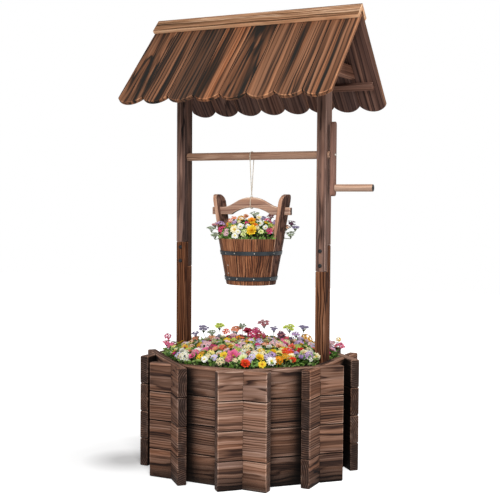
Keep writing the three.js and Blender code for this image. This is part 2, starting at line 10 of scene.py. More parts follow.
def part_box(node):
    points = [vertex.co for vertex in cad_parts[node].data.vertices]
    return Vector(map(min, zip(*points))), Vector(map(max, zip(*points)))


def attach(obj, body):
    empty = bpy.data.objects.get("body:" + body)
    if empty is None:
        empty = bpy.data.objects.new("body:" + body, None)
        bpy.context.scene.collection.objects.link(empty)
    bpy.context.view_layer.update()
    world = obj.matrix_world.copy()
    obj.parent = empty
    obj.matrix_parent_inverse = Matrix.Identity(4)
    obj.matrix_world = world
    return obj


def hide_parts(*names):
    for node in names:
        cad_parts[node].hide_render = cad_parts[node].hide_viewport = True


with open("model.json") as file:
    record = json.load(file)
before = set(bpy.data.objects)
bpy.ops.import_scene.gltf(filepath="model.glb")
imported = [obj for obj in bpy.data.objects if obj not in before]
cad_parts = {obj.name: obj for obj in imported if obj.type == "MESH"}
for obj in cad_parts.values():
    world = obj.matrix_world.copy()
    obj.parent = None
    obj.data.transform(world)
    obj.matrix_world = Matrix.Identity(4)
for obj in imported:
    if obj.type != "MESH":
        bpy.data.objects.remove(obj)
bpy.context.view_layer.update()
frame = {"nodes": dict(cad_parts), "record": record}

# The photograph's camera, fitted to the well's corners: it stands at AZIMUTH round from the front
AZIMUTH = radians(26.3135)
DISTANCE = 2.5282
EYE_HEIGHT = 0.6681
YAW = radians(0.0748)
PITCH = radians(2.7256)
ROLL = radians(0.3982)
FOCAL_PIXELS = 990.2967
FRAME_PIXELS = 500
METRES_PER_PIXEL = DISTANCE / FOCAL_PIXELS

# Sizes of the well that its pieces' boxes don't give, in metres
SEAT_GAP = 0.0003
SIDE_COUNT = 8
COURSE_COUNT = 4
WALL_ACROSS = 0.4674
BOARD_THICKNESS = 0.023
WALL_INSIDE = WALL_ACROSS / 2 - BOARD_THICKNESS
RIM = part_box("front_board_4")[1][2]
POST_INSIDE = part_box("right_post_lower")[0][0]
POST_HALF_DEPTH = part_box("right_post_lower")[1][1]
ROOF_PITCH = radians(47)
ROOF_SHIFT = 0.007
CAP_THICKNESS = 0.010
PLANK_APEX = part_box("front_ridge_cap")[1][2] - (CAP_THICKNESS + SEAT_GAP) / cos(ROOF_PITCH)
PLANK_COUNT = 8
PLANK_WIDTH = 0.07
PLANK_GAP = 0.0013
PLANK_THICKNESS = 0.010
PLANK_LENGTH = 0.300
PLANK_TIP_RISE = 0.018
PURLIN_WIDTH = 0.018
PURLIN_THICKNESS = 0.012
PURLIN_INSET = 0.016
PURLIN_PLACES = (0.205, 0.026)
STAVE_COUNT = 10
STAVE_THICKNESS = 0.010
BUCKET_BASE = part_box("bucket_front_staves")[0][2]
BUCKET_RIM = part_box("bucket_front_staves")[1][2]
BUCKET_BASE_RADIUS = 0.063
BUCKET_RIM_RADIUS = 0.084
AXLE_HEIGHT = 0.787
AXLE_RADIUS = 0.010
ROPE_RADIUS = 0.0013
ROPE_DROP = 0.0987
TIE_HALF_DEPTH = 0.006
TIE_HALF_HEIGHT = 0.01325
TIE_BEND = 0.0024

SIDES = ["front", "front_right", "right", "rear_right", "rear", "rear_left", "left", "front_left"]
X = (1, 0, 0)
Y = (0, 1, 0)
Z = (0, 0, 1)


# Small helpers
def unit(vector):
    return Vector(vector).normalized()


def circle(sides):
    return 2 * pi * np.arange(sides) / sides


def link(name, mesh):
    piece = bpy.data.objects.new(name, mesh)
    bpy.context.scene.collection.objects.link(piece)
    return piece


def mesh_from(name, points, faces):
    mesh = bpy.data.meshes.new(name)
    mesh.from_pydata([tuple(point) for point in points], [], [tuple(face) for face in faces])
    mesh.validate()
    return mesh


def body_of(node):
    bodies = frame["record"]["behaviour"]["bodies"]
    return next(body for body, nodes in bodies.items() if node in nodes)


def dress(piece, materials, node, body=None):
    """Gives a piece its materials, hides the node it stands for and attaches it to its body."""
    for material in materials:
        piece.data.materials.append(material)
    if node:
        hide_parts(node)
    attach(piece, body or body_of(node))
    return piece


# Shader building
class Nodes:
    """A node tree, written to from short helpers."""

    def __init__(self, tree):
        self.tree = tree

    def node(self, kind, **settings):
        made = self.tree.nodes.new(kind)
        for key, value in settings.items():
            setattr(made, key, value)
        return made

    def feed(self, socket, value):
        if isinstance(value, bpy.types.NodeSocket):
            self.tree.links.new(value, socket)
        else:
            socket.default_value = value

    def attribute(self, name, output="Vector"):
        return self.node("ShaderNodeAttribute", attribute_name=name).outputs[output]

    def math(self, operation, a, b=0.0):
        made = self.node("ShaderNodeMath", operation=operation)
        self.feed(made.inputs[0], a)
        self.feed(made.inputs[1], b)
        return made.outputs[0]

    def times(self, a, b):
        return self.math("MULTIPLY", a, b)

    def centred(self, value):
        return self.math("SUBTRACT", value, 0.5)

    def sum(self, *terms):
        total = terms[0]
        for term in terms[1:]:
            total = self.math("ADD", total, term)
        return total

    def vector(self, operation, a, b):
        made = self.node("ShaderNodeVectorMath", operation=operation)
        self.feed(made.inputs[0], a)
        self.feed(made.inputs[1], b)
        return made.outputs["Value" if operation == "DISTANCE" else "Vector"]

    def split(self, vector):
        made = self.node("ShaderNodeSeparateXYZ")
        self.feed(made.inputs[0], vector)
        return made.outputs

    def noise(self, vector, stretch, detail, roughness=0.5, output="Fac"):
        made = self.node("ShaderNodeTexNoise")
        self.feed(made.inputs["Vector"], self.vector("MULTIPLY", vector, stretch))
        made.inputs["Scale"].default_value = 1.0
        made.inputs["Detail"].default_value = detail
        made.inputs["Roughness"].default_value = roughness
        return made.outputs[output]

    def ramp(self, value, stops):
        made = self.node("ShaderNodeValToRGB")
        elements = made.color_ramp.elements
        while len(elements) < len(stops):
            elements.new(0.5)
        for element, (place, tint) in zip(elements, stops):
            element.position = place
            element.color = (*tint, 1.0)
        self.feed(made.inputs[0], value)
        return made.outputs[0]

    def curve(self, value, stops):
        return self.ramp(value, [(place, (level, level, level)) for place, level in stops])

    def product(self, first, second):
        """Two colours multiplied."""
        made = self.node("ShaderNodeMix", data_type="RGBA", blend_type="MULTIPLY")
        self.feed(made.inputs["Factor"], 1.0)
        self.feed(made.inputs["A"], first)
        self.feed(made.inputs["B"], second)
        return made.outputs["Result"]


class Shader(Nodes):
    """The node tree of a new material, with its Principled shader."""

    def __init__(self, name):
        self.material = bpy.data.materials.new(name)
        self.material.use_nodes = True
        super().__init__(self.material.node_tree)
        self.bsdf = self.tree.nodes["Principled BSDF"]

    def surface(self, name, value):
        self.feed(self.bsdf.inputs[name], value)

    def bump(self, height, distance):
        made = self.node("ShaderNodeBump")
        made.inputs["Strength"].default_value = 1.0
        made.inputs["Distance"].default_value = distance
        self.feed(made.inputs["Height"], height)
        self.surface("Normal", made.outputs["Normal"])


def colour(code):
    """The linear colour of a six-digit sRGB code."""
    shares = [int(code[i:i + 2], 16) / 255 for i in (0, 2, 4)]
    return tuple(c / 12.92 if c <= 0.04045 else ((c + 0.055) / 1.055) ** 2.4 for c in shares)


def palette(codes, places=(0.0, 0.25, 0.5, 0.75, 1.0)):
    return [(place, colour(code)) for place, code in zip(places, codes.split())]


# Carbonised wood. Every wooden piece carries its own frame: "grain" is the place in its tree,
# along the grain, across its face and into its depth, "edge" runs from -1 to 1 over the piece,
# "tone" holds how light, how warm and how charred the board is, and a face attribute marks its
# arrises, which lighten for wear and as a painted highlight.
# A noise's stretch is how many of its cells lie in a metre, along, across and into the grain.
WANDER = (0.0, 0.014, 0.014)
RING_STRETCH = (0.6, 80.0, 80.0)
RING_WEIGHT_STRETCH = (3.0, 45.0, 45.0)
FIBRE_STRETCH = (9.0, 600.0, 600.0)
CHAR_STRETCH = (1.2, 48.0, 34.0)
WEAR_AND_HIGHLIGHT_STRETCH = (14.0, 60.0, 60.0)
HUE_STRETCH = (1.0, 75.0, 50.0)
HUE_SPREAD = 1.2
CHAR_START = 0.54
LATE_WOOD = [(0.0, 0.3), (0.1, 0.0), (0.55, 0.06), (0.82, 0.75), (0.93, 1.0), (1.0, 0.3)]
CASTS = [(0.0, (0.88, 0.98, 1.1)), (0.5, (1.0, 1.0, 1.0)), (1.0, (1.14, 0.95, 0.8))]
RECESS_SHADE = [(0.45, 0.03), (0.66, 0.4), (0.86, 1.0)]
RING_WEIGHTS = [(0.35, 0.3), (0.62, 1.0)]
WEAR_AND_HIGHLIGHT_PATCHES = [(0.38, 0.3), (0.62, 1.0)]
# Painted shade in a board's seam: how dark, by how near a point lies to its -1 side across
SEAM_SHADE_RAMP = [(0.945, 0.0), (0.978, 1.0)]
WOOD_SHEEN = 0.12


def wandering(s, sway):
    """The place in the tree, moved to and fro so that no grain is straight."""
    grain = s.attribute("grain")
    moved = s.vector("SUBTRACT", s.noise(grain, sway, 2.0, output="Color"), (0.5, 0.5, 0.5))
    return s.vector("ADD", grain, s.vector("MULTIPLY", moved, WANDER))


def late_wood(s, grain, ring, uneven):
    """How dark the year rings are, whose width is ring and whose spacing varies by uneven rings."""
    _, across, depth = s.split(grain)
    reach = s.math("SQRT", s.sum(s.times(across, across), s.times(depth, depth)))
    spacing = s.noise(grain, RING_STRETCH, 1.0)
    rings = s.sum(s.math("DIVIDE", reach, ring), s.times(spacing, uneven))
    weight = s.curve(s.noise(grain, RING_WEIGHT_STRETCH, 1.0), RING_WEIGHTS)
    return s.times(s.curve(s.math("FRACT", rings), LATE_WOOD), weight)


def painted_recess_shade(s, tint, distance):
    """A colour darkened by painted shade in recesses narrower than a distance."""
    recess = s.node("ShaderNodeAmbientOcclusion", samples=8)
    recess.inputs["Distance"].default_value = distance
    return s.product(tint, s.curve(recess.outputs["AO"], RECESS_SHADE))


# arris sets how much the arrises lighten, for wear and as a painted highlight; the seam and recess settings
# set painted shade in seams and recesses
def wood(name, stops, base, ring=0.0055, ring_depth=0.5, band=(0.7, 60.0, 40.0), band_depth=0.3,
         fine=(3.0, 280.0, 180.0), fine_depth=0.3, char_depth=0.5, char_edge=0.05,
         sway=(7.0, 16.0, 16.0), uneven=2.0, rough=(0.85, 0.65), relief=0.0005, arris=0.3,
         seam=0.0, recess_shade_reach=0.0, fibre_depth=0.12):
    """Wood whose lightness adds up from its grain, its tone, its wear with a painted highlight on its
    arrises and painted shade in its seams, and picks a colour.
    """
    s = Shader(name)
    grain = wandering(s, sway)
    light, warmth, charred = s.split(s.attribute("tone"))
    char = s.curve(s.noise(grain, CHAR_STRETCH, 2.0), [(CHAR_START, 0.0), (CHAR_START + char_edge, 1.0)])
    # Painted shade along the board's -1 side across, where it meets the next board
    foot = s.times(s.split(s.attribute("edge"))[1], -1.0)
    painted_seam_shade = s.curve(foot, SEAM_SHADE_RAMP)
    wear_and_highlight_patches = s.curve(s.noise(grain, WEAR_AND_HIGHLIGHT_STRETCH, 2.0), WEAR_AND_HIGHLIGHT_PATCHES)
    # Arrises lighten in patches, for wear and as a painted highlight, but not where the seam's painted shade
    # lies.
    edge_wear_and_highlight = s.times(s.times(s.attribute("edge_wear_and_highlight", "Fac"), wear_and_highlight_patches), s.math("SUBTRACT", 1.0, painted_seam_shade))
    value = s.sum(
        base,
        s.times(s.centred(s.noise(grain, band, 2.0, 0.6)), band_depth * 2),
        s.times(s.centred(s.noise(grain, fine, 2.0)), fine_depth * 2),
        s.times(late_wood(s, grain, ring, uneven), -ring_depth),
        s.times(s.centred(s.noise(grain, FIBRE_STRETCH, 1.0)), fibre_depth),
        s.centred(light),
        s.times(s.times(char, charred), -char_depth),
        s.times(edge_wear_and_highlight, arris),
        s.times(painted_seam_shade, -seam))
    value = s.math("MAXIMUM", s.math("MINIMUM", value, 1.0), 0.0)
    hue = s.sum(warmth, s.times(s.centred(s.noise(grain, HUE_STRETCH, 1.0)), HUE_SPREAD))
    tint = s.product(s.ramp(value, stops), s.ramp(hue, CASTS))
    # Painted shade darkens the colour in recesses, where a reach for it is set.
    s.surface("Base Color", painted_recess_shade(s, tint, recess_shade_reach) if recess_shade_reach else tint)
    s.surface("Roughness", s.curve(value, [(0.0, rough[0]), (1.0, rough[1])]))
    s.surface("Specular IOR Level", WOOD_SHEEN)
    s.bump(value, relief)
    return s.material


PLANK_GRAIN = {"ring": 0.0095, "band": (0.9, 80.0, 60.0), "fine": (1.6, 120.0, 90.0),
               "sway": (3.5, 13.0, 13.0), "relief": 0.0003, "fibre_depth": 0.0}
GRIP_PALETTE = palette("3a261f 735245 9f7c6a bd9a85 e0c5ae")
# The wall's wood has painted shade in its seams and in its recesses.
wall_wood = wood("wall_wood", palette("120d0c 3a2720 6b4c3c 957260 c6a591"), 0.67, seam=1.2, recess_shade_reach=0.075)
post_wood = wood("post_wood", palette("1b1413 46332c 71554a 987768 bd9f90"), 0.62, ring_depth=0.4)
low_wood = wood("low_wood", palette("251208 4c2918 75492f 9c6b4d c79a7c"), 0.5, ring=0.0065, ring_depth=0.7)
# The planks take painted shade along one side, in the gaps between them.
roof_wood = wood("roof_wood", palette("1f1c19 3f2b20 6c4833 94664a bd8862"), 0.68, ring_depth=0.6,
                 band_depth=0.4, fine_depth=0.4, char_depth=0.48, char_edge=0.09, arris=0.35, seam=0.5,
                 **PLANK_GRAIN)
# A darker copy of the roof's wood whose darkness is painted shade, for the planks' undersides, the purlins
# and the collars
shaded_wood = wood("shaded_wood", palette("1d1513 3c2a25 664a40 8a6a5c ad8c7a"), 0.55, ring_depth=0.4,
                   char_depth=0.3, char_edge=0.12, arris=0.2, **PLANK_GRAIN)
cap_wood = wood("cap_wood", palette("2c1c12 5f412b 8c6447 ae8667 e3c3a6"), 0.63, ring=0.006, ring_depth=0.6,
                band=(1.2, 90.0, 60.0), band_depth=0.6, fine_depth=0.6, arris=0.4, fibre_depth=0.0)
# A light wood for the caps' downward faces: a painted highlight on their lower edge
highlight_edge_wood = wood("highlight_edge_wood", palette("a07050 d3a27c f0c8a2", (0.0, 0.5, 1.0)), 0.6, ring_depth=0.3,
                 band_depth=0.5, char_depth=0.2)
axle_wood = wood("axle_wood", palette("4a3528 7d5a44 a27a62 bd967c d9b89f"), 0.72, ring_depth=0.3,
                 char_depth=0.2)
arm_wood = wood("arm_wood", palette("5a443b 846459 9c7b70 bb9c90", (0.0, 0.3, 0.6, 1.0)), 0.29,
                ring_depth=0.25, char_depth=0.2)
grip_wood = wood("grip_wood", GRIP_PALETTE, 0.62, ring_depth=0.35, band_depth=0.4, char_depth=0.3)
ear_wood = wood("ear_wood", GRIP_PALETTE, 0.46, ring_depth=0.4, band_depth=0.4, char_depth=0.3)
handle_wood = wood("handle_wood", palette("8d6f5d b0907c cfb09a e8d0bb", (0.0, 0.35, 0.7, 1.0)), 0.44,
                   ring_depth=0.4, char_depth=0.2)
# The staves take painted shade along one side, in the seams between them.
bucket_wood = wood("bucket_wood", palette("1b100d 4a2d21 7a5039 a37657 cfa585"), 0.57, ring=0.005,
                   ring_depth=0.65, band=(1.5, 90.0, 50.0), char_depth=0.35, rough=(0.7, 0.5), seam=0.9)
end_wood = wood("end_wood", palette("171110 33251f 5f4940 a38776", (0.0, 0.35, 0.65, 1.0)), 0.34, ring=0.005,
                ring_depth=-0.5, band_depth=0.15, fine_depth=0.1, char_depth=0.0, uneven=0.5)


def plain(name, code, rough, metallic=0.0, grain=400.0, depth=0.0001, spread=0.35):
    """One colour, patchy by a spread, in its roughness and its relief too."""
    s = Shader(name)
    place = s.node("ShaderNodeTexCoord").outputs["Object"]
    patch = s.noise(place, (grain, grain, grain), 4.0)
    dark = tuple(c * (1 - spread) for c in colour(code))
    light = tuple(min(c * (1 + spread), 1.0) for c in colour(code))
    s.surface("Base Color", s.ramp(patch, [(0.25, dark), (0.75, light)]))
    s.surface("Roughness", s.curve(patch, [(0.2, rough + 0.1), (0.8, rough - 0.1)]))
    s.surface("Metallic", metallic)
    s.bump(patch, depth)
    return s.material


# Dark paint in patches, whose lighter patches partly paint reflections on the steel
hoop_steel = plain("hoop_steel", "23292d", 0.5, 0.5, grain=45.0, spread=0.7)
bolt_steel = plain("bolt_steel", "17191b", 0.45, 0.6)
nail_steel = plain("nail_steel", "b9b3aa", 0.35, 0.9)
# Near-black, for the crank handle's end faces
black_end = plain("black_end", "0c0a09", 0.85)
twine = plain("twine", "cfc3b1", 0.9, grain=900.0)
compost = plain("compost", "2a1d15", 0.95, grain=160.0, depth=0.003, spread=0.6)


def tinted(name, rough, variation):
    """Leaves or petals, whose colour is in the attribute "tint"."""
    s = Shader(name)
    place = s.node("ShaderNodeTexCoord").outputs["Object"]
    patch = s.curve(s.noise(place, (700.0, 700.0, 700.0), 2.0), [(0.3, 1 - variation), (0.7, 1.0)])
    s.surface("Base Color", s.product(s.attribute("tint", "Color"), patch))
    s.surface("Roughness", rough)
    s.surface("Specular IOR Level", 0.25)
    s.bump(patch, 0.0002)
    return s.material


petals = tinted("petals", 0.65, 0.12)
greens = tinted("greens", 0.55, 0.3)


# Grain and tone of a wooden mesh. A face counts as end grain, or as one side of a board, where the
# cosine of its angle to that direction is above a limit.
END_FACING = 0.8
SIDE_FACING = 0.6


def layer(mesh, name, kind, values):
    made = mesh.attributes.new(name, kind, "POINT")
    made.data.foreach_set("vector" if kind == "FLOAT_VECTOR" else "color", np.ravel(values))


def set_grain(mesh, along, across, pith, tone, ends=True, tilt=0.0, painted_light_falloff=0.0):
    """Stores where each point lies in its tree. pith is the point that the rings go round, tilt
    how far the board runs out of the rings, tone its lightness, warmth and char, and the falloff
    how much lighter its far end is than its middle, painted light that falls off along the board.
    Faces across the grain take the second material."""
    along = np.array(unit(along))
    across = np.array(unit(across))
    points = np.empty(len(mesh.vertices) * 3)
    mesh.vertices.foreach_get("co", points)
    local = points.reshape(-1, 3) @ np.array((along, across, np.cross(along, across))).T
    low = local.min(axis=0)
    high = local.max(axis=0)
    local -= (low + high) / 2
    edge = local * 2 / (high - low)
    layer(mesh, "edge", "FLOAT_VECTOR", edge)
    tones = np.tile(np.array(tone, dtype=float), (len(local), 1))
    # Painted light: lighter towards one end of the board, darker towards the other.
    tones[:, 0] += painted_light_falloff * edge[:, 0]
    layer(mesh, "tone", "FLOAT_VECTOR", tones)
    local[:, 2] += tilt * local[:, 0]
    layer(mesh, "grain", "FLOAT_VECTOR", local + np.array(pith))
    if ends:
        for face in mesh.polygons:
            face.material_index = int(abs(face.normal @ Vector(along)) > END_FACING)


class Stock:
    """Boards as they come off the pile: where the pith lies, and how each one is toned. The pith is
    beside a quarter-sawn board, and below any other."""

    BESIDE = (0.05, 0.1)
    BELOW = (0.03, 0.07)
    STRAY = (-0.02, 0.02)

    def __init__(self, seed):
        self.random = np.random.default_rng(seed)

    def pith(self, quarter_sawn=0.6):
        along = self.random.uniform(-50, 50)
        if self.random.random() < quarter_sawn:
            across = self.random.choice([-1, 1]) * self.random.uniform(*self.BESIDE)
            return (along, across, self.random.uniform(*self.STRAY))
        return (along, self.random.uniform(*self.STRAY), self.random.uniform(*self.BELOW))

    def tilt(self):
        return float(self.random.uniform(-0.05, 0.05))

    def tone(self, middle=0.5):
        light = middle + self.random.uniform(-0.1, 0.1)
        return (light, self.random.uniform(0.2, 0.8), self.random.uniform(0, 0.8))


stock = Stock(7)


# Rounded copies of the model's own pieces
def bevelled(work, arris, skip=None):
    """Rounds every sharp edge of a bmesh, marks the new faces as arrises that lighten for wear and as a
    painted highlight, and gives it back as a mesh.
    """
    edge_wear_and_highlight = work.faces.layers.float.new("edge_wear_and_highlight")
    sharp = [e for e in work.edges if len(e.link_faces) == 2 and e.calc_face_angle(0) > radians(30)]
    if skip:
        sharp = [e for e in sharp if not skip((e.verts[0].co + e.verts[1].co) / 2)]
    made = bmesh.ops.bevel(work, geom=sharp, offset=arris, offset_type="OFFSET", segments=2,
                           profile=0.5, affect="EDGES", clamp_overlap=True)
    for face in made["faces"]:
        face[edge_wear_and_highlight] = 1.0
    mesh = bpy.data.meshes.new("rounded")
    work.to_mesh(mesh)
    work.free()
    return mesh


def rounded(node, arris, skip=None):
    """A node's mesh with its arrises rounded."""
    work = bmesh.new()
    work.from_mesh(frame["nodes"][node].data)
    bmesh.ops.remove_doubles(work, verts=work.verts, dist=1e-6)
    bmesh.ops.dissolve_limit(work, angle_limit=radians(2), verts=work.verts, edges=work.edges)
    return bevelled(work, arris, skip)


def soften(piece):
    """Smooth shading that keeps flat faces flat."""
    piece.data.shade_smooth()
    modifier = piece.modifiers.new("weighted", "WEIGHTED_NORMAL")
    modifier.mode = "FACE_AREA"
    modifier.weight = 100
    modifier.keep_sharp = True


def dressed(node, material, along, across, arris=0.001, tone=None, skip=None, end=end_wood, painted_light_falloff=0.0):
    """A node's piece in wood, with its grain along one direction and its face across another."""
    mesh = rounded(node, arris, skip)
    set_grain(mesh, along, across, stock.pith(), tone or stock.tone(), tilt=stock.tilt(), painted_light_falloff=painted_light_falloff)
    piece = link(node + "_wood", mesh)
    soften(piece)
    return dress(piece, [material, end], node)


# Planter wall. How light, warm and charred the boards of each side are, from the lowest up.
# The lower tones of the right and front_left sides are partly painted shade.
WALL_TONES = {
    "front": [(0.52, 0.7, 0.1), (0.46, 0.5, 0.5), (0.48, 0.5, 0.2), (0.46, 0.4, 0.3)],
    "front_right": [(0.45, 0.3, 0.6), (0.53, 0.5, 0.5), (0.51, 0.45, 0.5), (0.51, 0.45, 0.5)],
    "right": [(0.44, 0.6, 0.3), (0.42, 0.5, 0.4), (0.38, 0.4, 0.4), (0.46, 0.7, 0.2)],
    "front_left": [(0.42, 0.5, 0.3), (0.44, 0.6, 0.3), (0.4, 0.4, 0.3), (0.42, 0.5, 0.3)],
}
# Painted light falling off along the front and front_right boards, lighter towards one end.
WALL_PAINTED_LIGHT_FALLOFF = {"front": 0.1, "front_right": -0.08}
OTHER_WALLS_LIGHT = 0.48


def make_wall():
    for side, name in enumerate(SIDES):
        turn = side * 2 * pi / SIDE_COUNT
        along = (cos(turn), sin(turn), 0)
        for course in range(COURSE_COUNT):
            tone = WALL_TONES[name][course] if name in WALL_TONES else stock.tone(OTHER_WALLS_LIGHT)
            dressed(f"{name}_board_{course + 1}", wall_wood, along, Z, arris=0.0014,
                    tone=tone, painted_light_falloff=WALL_PAINTED_LIGHT_FALLOFF.get(name, 0.0))


# Posts, collars, caps and windlass
BOLT_HEIGHTS = (0.515, 0.551)
BOLT_REACH = 0.008
LOWER_TONE = (0.5, 0.4, 0.3)
UPPER_TONES = {"left": (0.38, 0.4, 0.4), "right": (0.45, 0.4, 0.4)}
COLLAR_TONE = (0.56, 0.9, 0.3)
CAP_TONE = (0.52, 0.5, 0.5)


def make_posts():
    """The posts, whose bolt heads and nuts belong to their upper lengths."""
    for side in ("left", "right"):
        low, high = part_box(f"{side}_post_lower")
        middle = (low[0] + high[0]) / 2

        def near_bolt(point):
            return any((point.x - middle) ** 2 + (point.z - height) ** 2 < BOLT_REACH ** 2
                       for height in BOLT_HEIGHTS)

        lengths = (("lower", low_wood, LOWER_TONE), ("upper", post_wood, UPPER_TONES[side]))
        for length, material, tone in lengths:
            piece = dressed(f"{side}_post_{length}", material, Z, X, tone=tone, skip=near_bolt)
            piece.data.materials.append(bolt_steel)
            for face in piece.data.polygons:
                if abs(face.center.y) > POST_HALF_DEPTH + SEAT_GAP:
                    face.material_index = 2
        dressed(f"{side}_collar", shaded_wood, Y, Z, tone=COLLAR_TONE)


def make_frame():
    make_posts()
    for slope in ("front", "rear"):
        cap = dressed(f"{slope}_ridge_cap", cap_wood, X, (0, 1, 1), tone=CAP_TONE, end=highlight_edge_wood)
        # Downward faces of the caps take the light wood: a painted highlight
        for face in cap.data.polygons:
            if face.normal.z < -0.3:
                face.material_index = 1
    dressed("axle", axle_wood, X, Z, arris=0.0006)
    dressed("crank_arm", arm_wood, Z, Y, arris=0.0008)
    dressed("crank_handle", handle_wood, X, Z, arris=0.0008, end=black_end)


# Roof planks, each with a rounded tip
def plank_outline(width, steps=14):
    half = width / 2
    radius = (half * half + PLANK_TIP_RISE ** 2) / (2 * PLANK_TIP_RISE)
    centre = radius - PLANK_LENGTH
    turn = atan2(PLANK_TIP_RISE - radius, half)
    angles = [-pi - turn + (pi + 2 * turn) * i / steps for i in range(steps + 1)]
    tip = [(radius * cos(angle), centre + radius * sin(angle)) for angle in angles]
    return [(half, -SEAT_GAP), (-half, -SEAT_GAP)] + tip


def walled(outlines, heights):
    """A bmesh with the walls between two outlines at two heights, and its two rings of corners."""
    work = bmesh.new()
    low, high = [[work.verts.new((x, y, z)) for x, y in ring] for ring, z in zip(outlines, heights)]
    for corners in zip(low, low[1:] + low[:1], high[1:] + high[:1], high):
        work.faces.new(corners)
    return work, low, high


def extruded(outline, low, high, arris):
    """A plate from an outline, with its arrises rounded."""
    work, *rings = walled((outline, outline), (low, high))
    for ring in rings:
        work.faces.new(ring)
    bmesh.ops.recalc_face_normals(work, faces=work.faces)
    return bevelled(work, arris)


def joined(name, meshes):
    """One piece from several meshes, with their grain kept."""
    pieces = [link(f"{name}_{i}", mesh) for i, mesh in enumerate(meshes)]
    with bpy.context.temp_override(active_object=pieces[0], selected_editable_objects=pieces):
        bpy.ops.object.join()
    pieces[0].name = name
    pieces[0].data.name = name
    soften(pieces[0])
    return pieces[0]


# How light, warm and charred each plank is, from the left, and how far it runs out of the rings
PLANKS = {
    "front": [
        (0.4, 0.45, 1.0, 0.05), (0.34, 0.4, 0.9, 0.01), (0.22, 0.25, 0.9, 0.01), (0.5, 0.8, 1.2, 0.02),
        (0.33, 0.5, 0.8, 0.06), (0.42, 0.5, 0.4, 0.01), (0.42, 0.5, 1.0, 0.02), (0.44, 0.5, 1.2, 0.01)],
    "rear": [
        (0.48, 0.5, 0.3, 0.02), (0.44, 0.4, 0.5, 0.0), (0.5, 0.6, 0.3, 0.06), (0.46, 0.4, 0.4, 0.01),
        (0.5, 0.5, 0.2, 0.02), (0.5, 0.4, 0.3, 0.0), (0.44, 0.5, 0.4, 0.05), (0.42, 0.4, 0.3, 0.01)],
}
PLANK_FIGURED = 0.04  # a plank that runs further out of the rings is flat sawn
PLANK_STEP = 0.0002  # between neighbours' faces
PLANK_SLIT = 0.0001  # between neighbours' sides
PURLIN_TONE = (0.54, 0.7, 0.2)
ROOF_LENGTH = (PLANK_WIDTH + PLANK_GAP) * PLANK_COUNT - PLANK_GAP


def plank_mesh(slope, number):
    """One plank of a slope, lying flat, with its head at the apex."""
    pitch = PLANK_WIDTH + PLANK_GAP
    *tone, tilt = PLANKS[slope][number]
    top = -PLANK_STEP * (1 + number % 2)
    mesh = extruded(plank_outline(pitch - PLANK_SLIT), top - PLANK_THICKNESS, top, arris=0.0016)
    mesh.transform(Matrix.Translation(((PLANK_WIDTH - ROOF_LENGTH) / 2 + number * pitch, 0, 0)))
    inward = (1 if number == PLANK_COUNT - 1 else -1, 0, 0)
    set_grain(mesh, Y, inward, stock.pith(float(tilt < PLANK_FIGURED)), tone, ends=False, tilt=tilt)
    return mesh


def purlin_mesh(place):
    reach = ROOF_LENGTH / 2 - PURLIN_INSET
    foot = -place - PURLIN_WIDTH
    outline = [(-reach, foot), (reach, foot), (reach, -place), (-reach, -place)]
    top = -PLANK_THICKNESS - SEAT_GAP
    mesh = extruded(outline, -PLANK_THICKNESS - PURLIN_THICKNESS, top, arris=0.0008)
    set_grain(mesh, X, Y, stock.pith(), PURLIN_TONE, ends=False)
    return mesh


def make_roof():
    for slope, turn in (("front", 0.0), ("rear", pi)):
        onto = (Matrix.Translation((ROOF_SHIFT, 0, PLANK_APEX)) @ Matrix.Rotation(turn, 4, "Z")
                @ Matrix.Rotation(ROOF_PITCH, 4, "X"))
        upward = onto.to_3x3() @ Vector(Z)
        planks = [plank_mesh(slope, number) for number in range(PLANK_COUNT)]
        purlins = [purlin_mesh(place) for place in PURLIN_PLACES]
        for mesh in planks + purlins:
            mesh.transform(onto)
        piece = joined(f"{slope}_planks", planks)
        dress(piece, [roof_wood, shaded_wood], f"{slope}_roof_panel")
        for face in piece.data.polygons:
            # Faces turned down take the darker copy: painted shade under the roof
            face.material_index = int(face.normal @ upward < -0.5)
        dress(joined(f"{slope}_purlins", purlins), [shaded_wood], f"{slope}_roof_panel")


# Bucket
STAVE_TONES = [(0.52, 0.75, 0.2), (0.49, 0.75, 0.4), (0.44, 0.4, 0.5), (0.53, 0.5, 0.3),
               (0.48, 0.4, 0.3), (0.56, 0.6, 0.2), (0.38, 0.5, 1.0), (0.55, 0.8, 0.3)]
STAVE_SEAM = 0.004  # half a seam, as an angle
# The ears: how light each is, and the painted shade on its right side
EAR_TONES_AND_SIDE_SHADE = {"left_ear": (0.6, -0.18), "right_ear": (0.5, -0.3)}  # how light, and its right side's change
# Painted light on the ears' fronts: how much lighter and warmer they are
EAR_FRONT_PAINTED_LIGHT = (0.18, 0.4)  # how much lighter and warmer the front is


def bucket_radius(height):
    share = height / (BUCKET_RIM - BUCKET_BASE)
    return BUCKET_BASE_RADIUS + (BUCKET_RIM_RADIUS - BUCKET_BASE_RADIUS) * share


